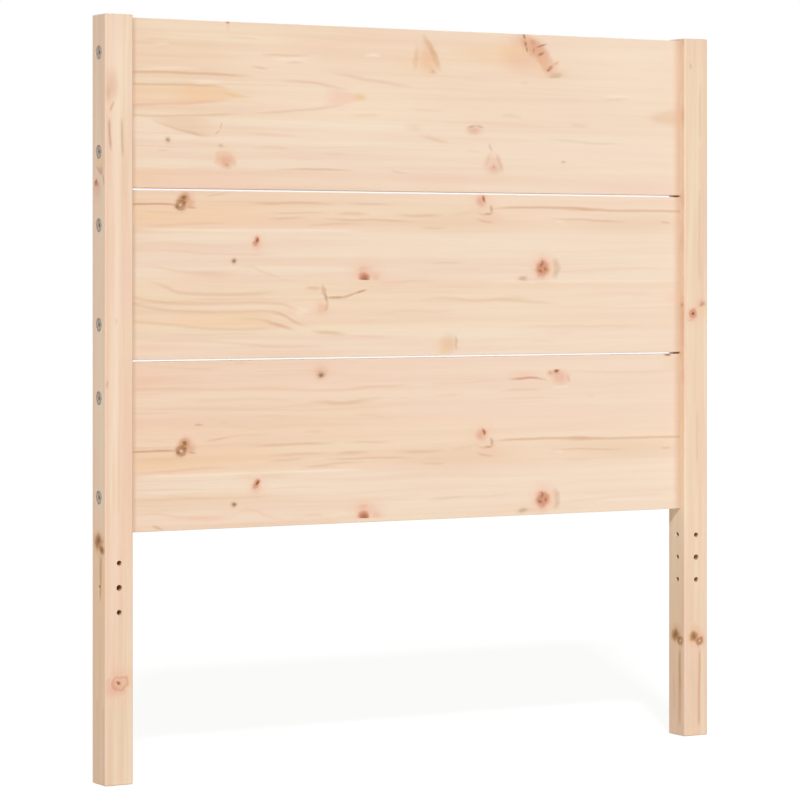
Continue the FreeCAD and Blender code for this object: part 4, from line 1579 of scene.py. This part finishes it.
def make_world(scene, strength):
    world = bpy.data.worlds.new("studio")
    world.use_nodes = True
    shader = Shader(world.node_tree)
    room = shader.node("ShaderNodeBackground", WHITE, strength)
    white = shader.node("ShaderNodeBackground", WHITE, 1.0)
    pick = shader.node("ShaderNodeMixShader", seen_directly(shader), room.outputs[0], white.outputs[0])
    shader.node("ShaderNodeOutputWorld", pick.outputs[0])
    scene.world = world


def make_floor(scene, size):
    """A plain pale floor. The camera sees it almost white, with a trace of the shadow left."""
    mesh = bpy.data.meshes.new("floor")
    half = size / 2
    corners = [(-half, -half, 0), (half, -half, 0), (half, half, 0), (-half, half, 0)]
    mesh.from_pydata(corners, [], [(0, 1, 2, 3)])
    floor = bpy.data.objects.new("floor", mesh)
    scene.collection.objects.link(floor)
    material, shader = new_material("pale_floor")
    matt = shader.node("ShaderNodeBsdfDiffuse", FLOOR_COLOUR)
    glow = shader.node("ShaderNodeEmission", WHITE, FLOOR_GLOW)
    share = shader.math("MULTIPLY", seen_directly(shader), FLOOR_GLOW_SHARE)
    mixed = shader.node("ShaderNodeMixShader", share, matt.outputs[0], glow.outputs[0])
    shader.node("ShaderNodeOutputMaterial", mixed.outputs[0])
    mesh.materials.append(material)


class HEADBOARD_OT_stage(bpy.types.Operator):
    """Set up the camera, the studio light and the floor"""
    bl_idname = "headboard.stage"
    bl_label = "Stage"

    def execute(self, context):
        scene = context.scene
        stage = scene.headboard_stage
        scene.view_settings.view_transform = "Standard"
        make_camera(scene)
        make_world(scene, stage.world_strength)
        make_floor(scene, stage.floor_size)
        make_sun(scene, "key", stage.key_strength, stage.key_height, stage.key_swing, stage.key_softness)
        make_sun(scene, "back_fill", stage.back_strength, BACK_HEIGHT, BACK_SWING, BACK_SOFTNESS)
        return {"FINISHED"}


class HEADBOARD_PT_panel(bpy.types.Panel):
    """Lists the headboard's sizes, colours and building steps"""
    bl_idname = "HEADBOARD_PT_panel"
    bl_label = "Headboard"
    bl_space_type = "VIEW_3D"
    bl_region_type = "UI"
    bl_category = "Headboard"

    def draw(self, context):
        layout = self.layout
        scene = context.scene
        for group in (scene.headboard_wood, scene.headboard_fasteners, scene.headboard_stage):
            for name in group.__annotations__:
                layout.prop(group, name)
        for step in STEPS:
            layout.operator(step.bl_idname)


STEPS = (HEADBOARD_OT_stage, HEADBOARD_OT_boards, HEADBOARD_OT_posts,
         HEADBOARD_OT_bolts, HEADBOARD_OT_barrel_nuts, HEADBOARD_OT_dowels)
CLASSES = (HeadboardWood, HeadboardFasteners, HeadboardStage, *STEPS, HEADBOARD_PT_panel)


def register():
    for entry in CLASSES:
        bpy.utils.register_class(entry)
    bpy.types.Scene.headboard_wood = bpy.props.PointerProperty(type=HeadboardWood)
    bpy.types.Scene.headboard_fasteners = bpy.props.PointerProperty(type=HeadboardFasteners)
    bpy.types.Scene.headboard_stage = bpy.props.PointerProperty(type=HeadboardStage)


def unregister():
    del bpy.types.Scene.headboard_stage
    del bpy.types.Scene.headboard_fasteners
    del bpy.types.Scene.headboard_wood
    for entry in reversed(CLASSES):
        bpy.utils.unregister_class(entry)


def main():
    register()
    bpy.ops.headboard.stage()
    bpy.ops.headboard.boards()
    bpy.ops.headboard.posts()
    bpy.ops.headboard.bolts()
    bpy.ops.headboard.barrel_nuts()
    bpy.ops.headboard.dowels()


if __name__ == "__main__":
    main()
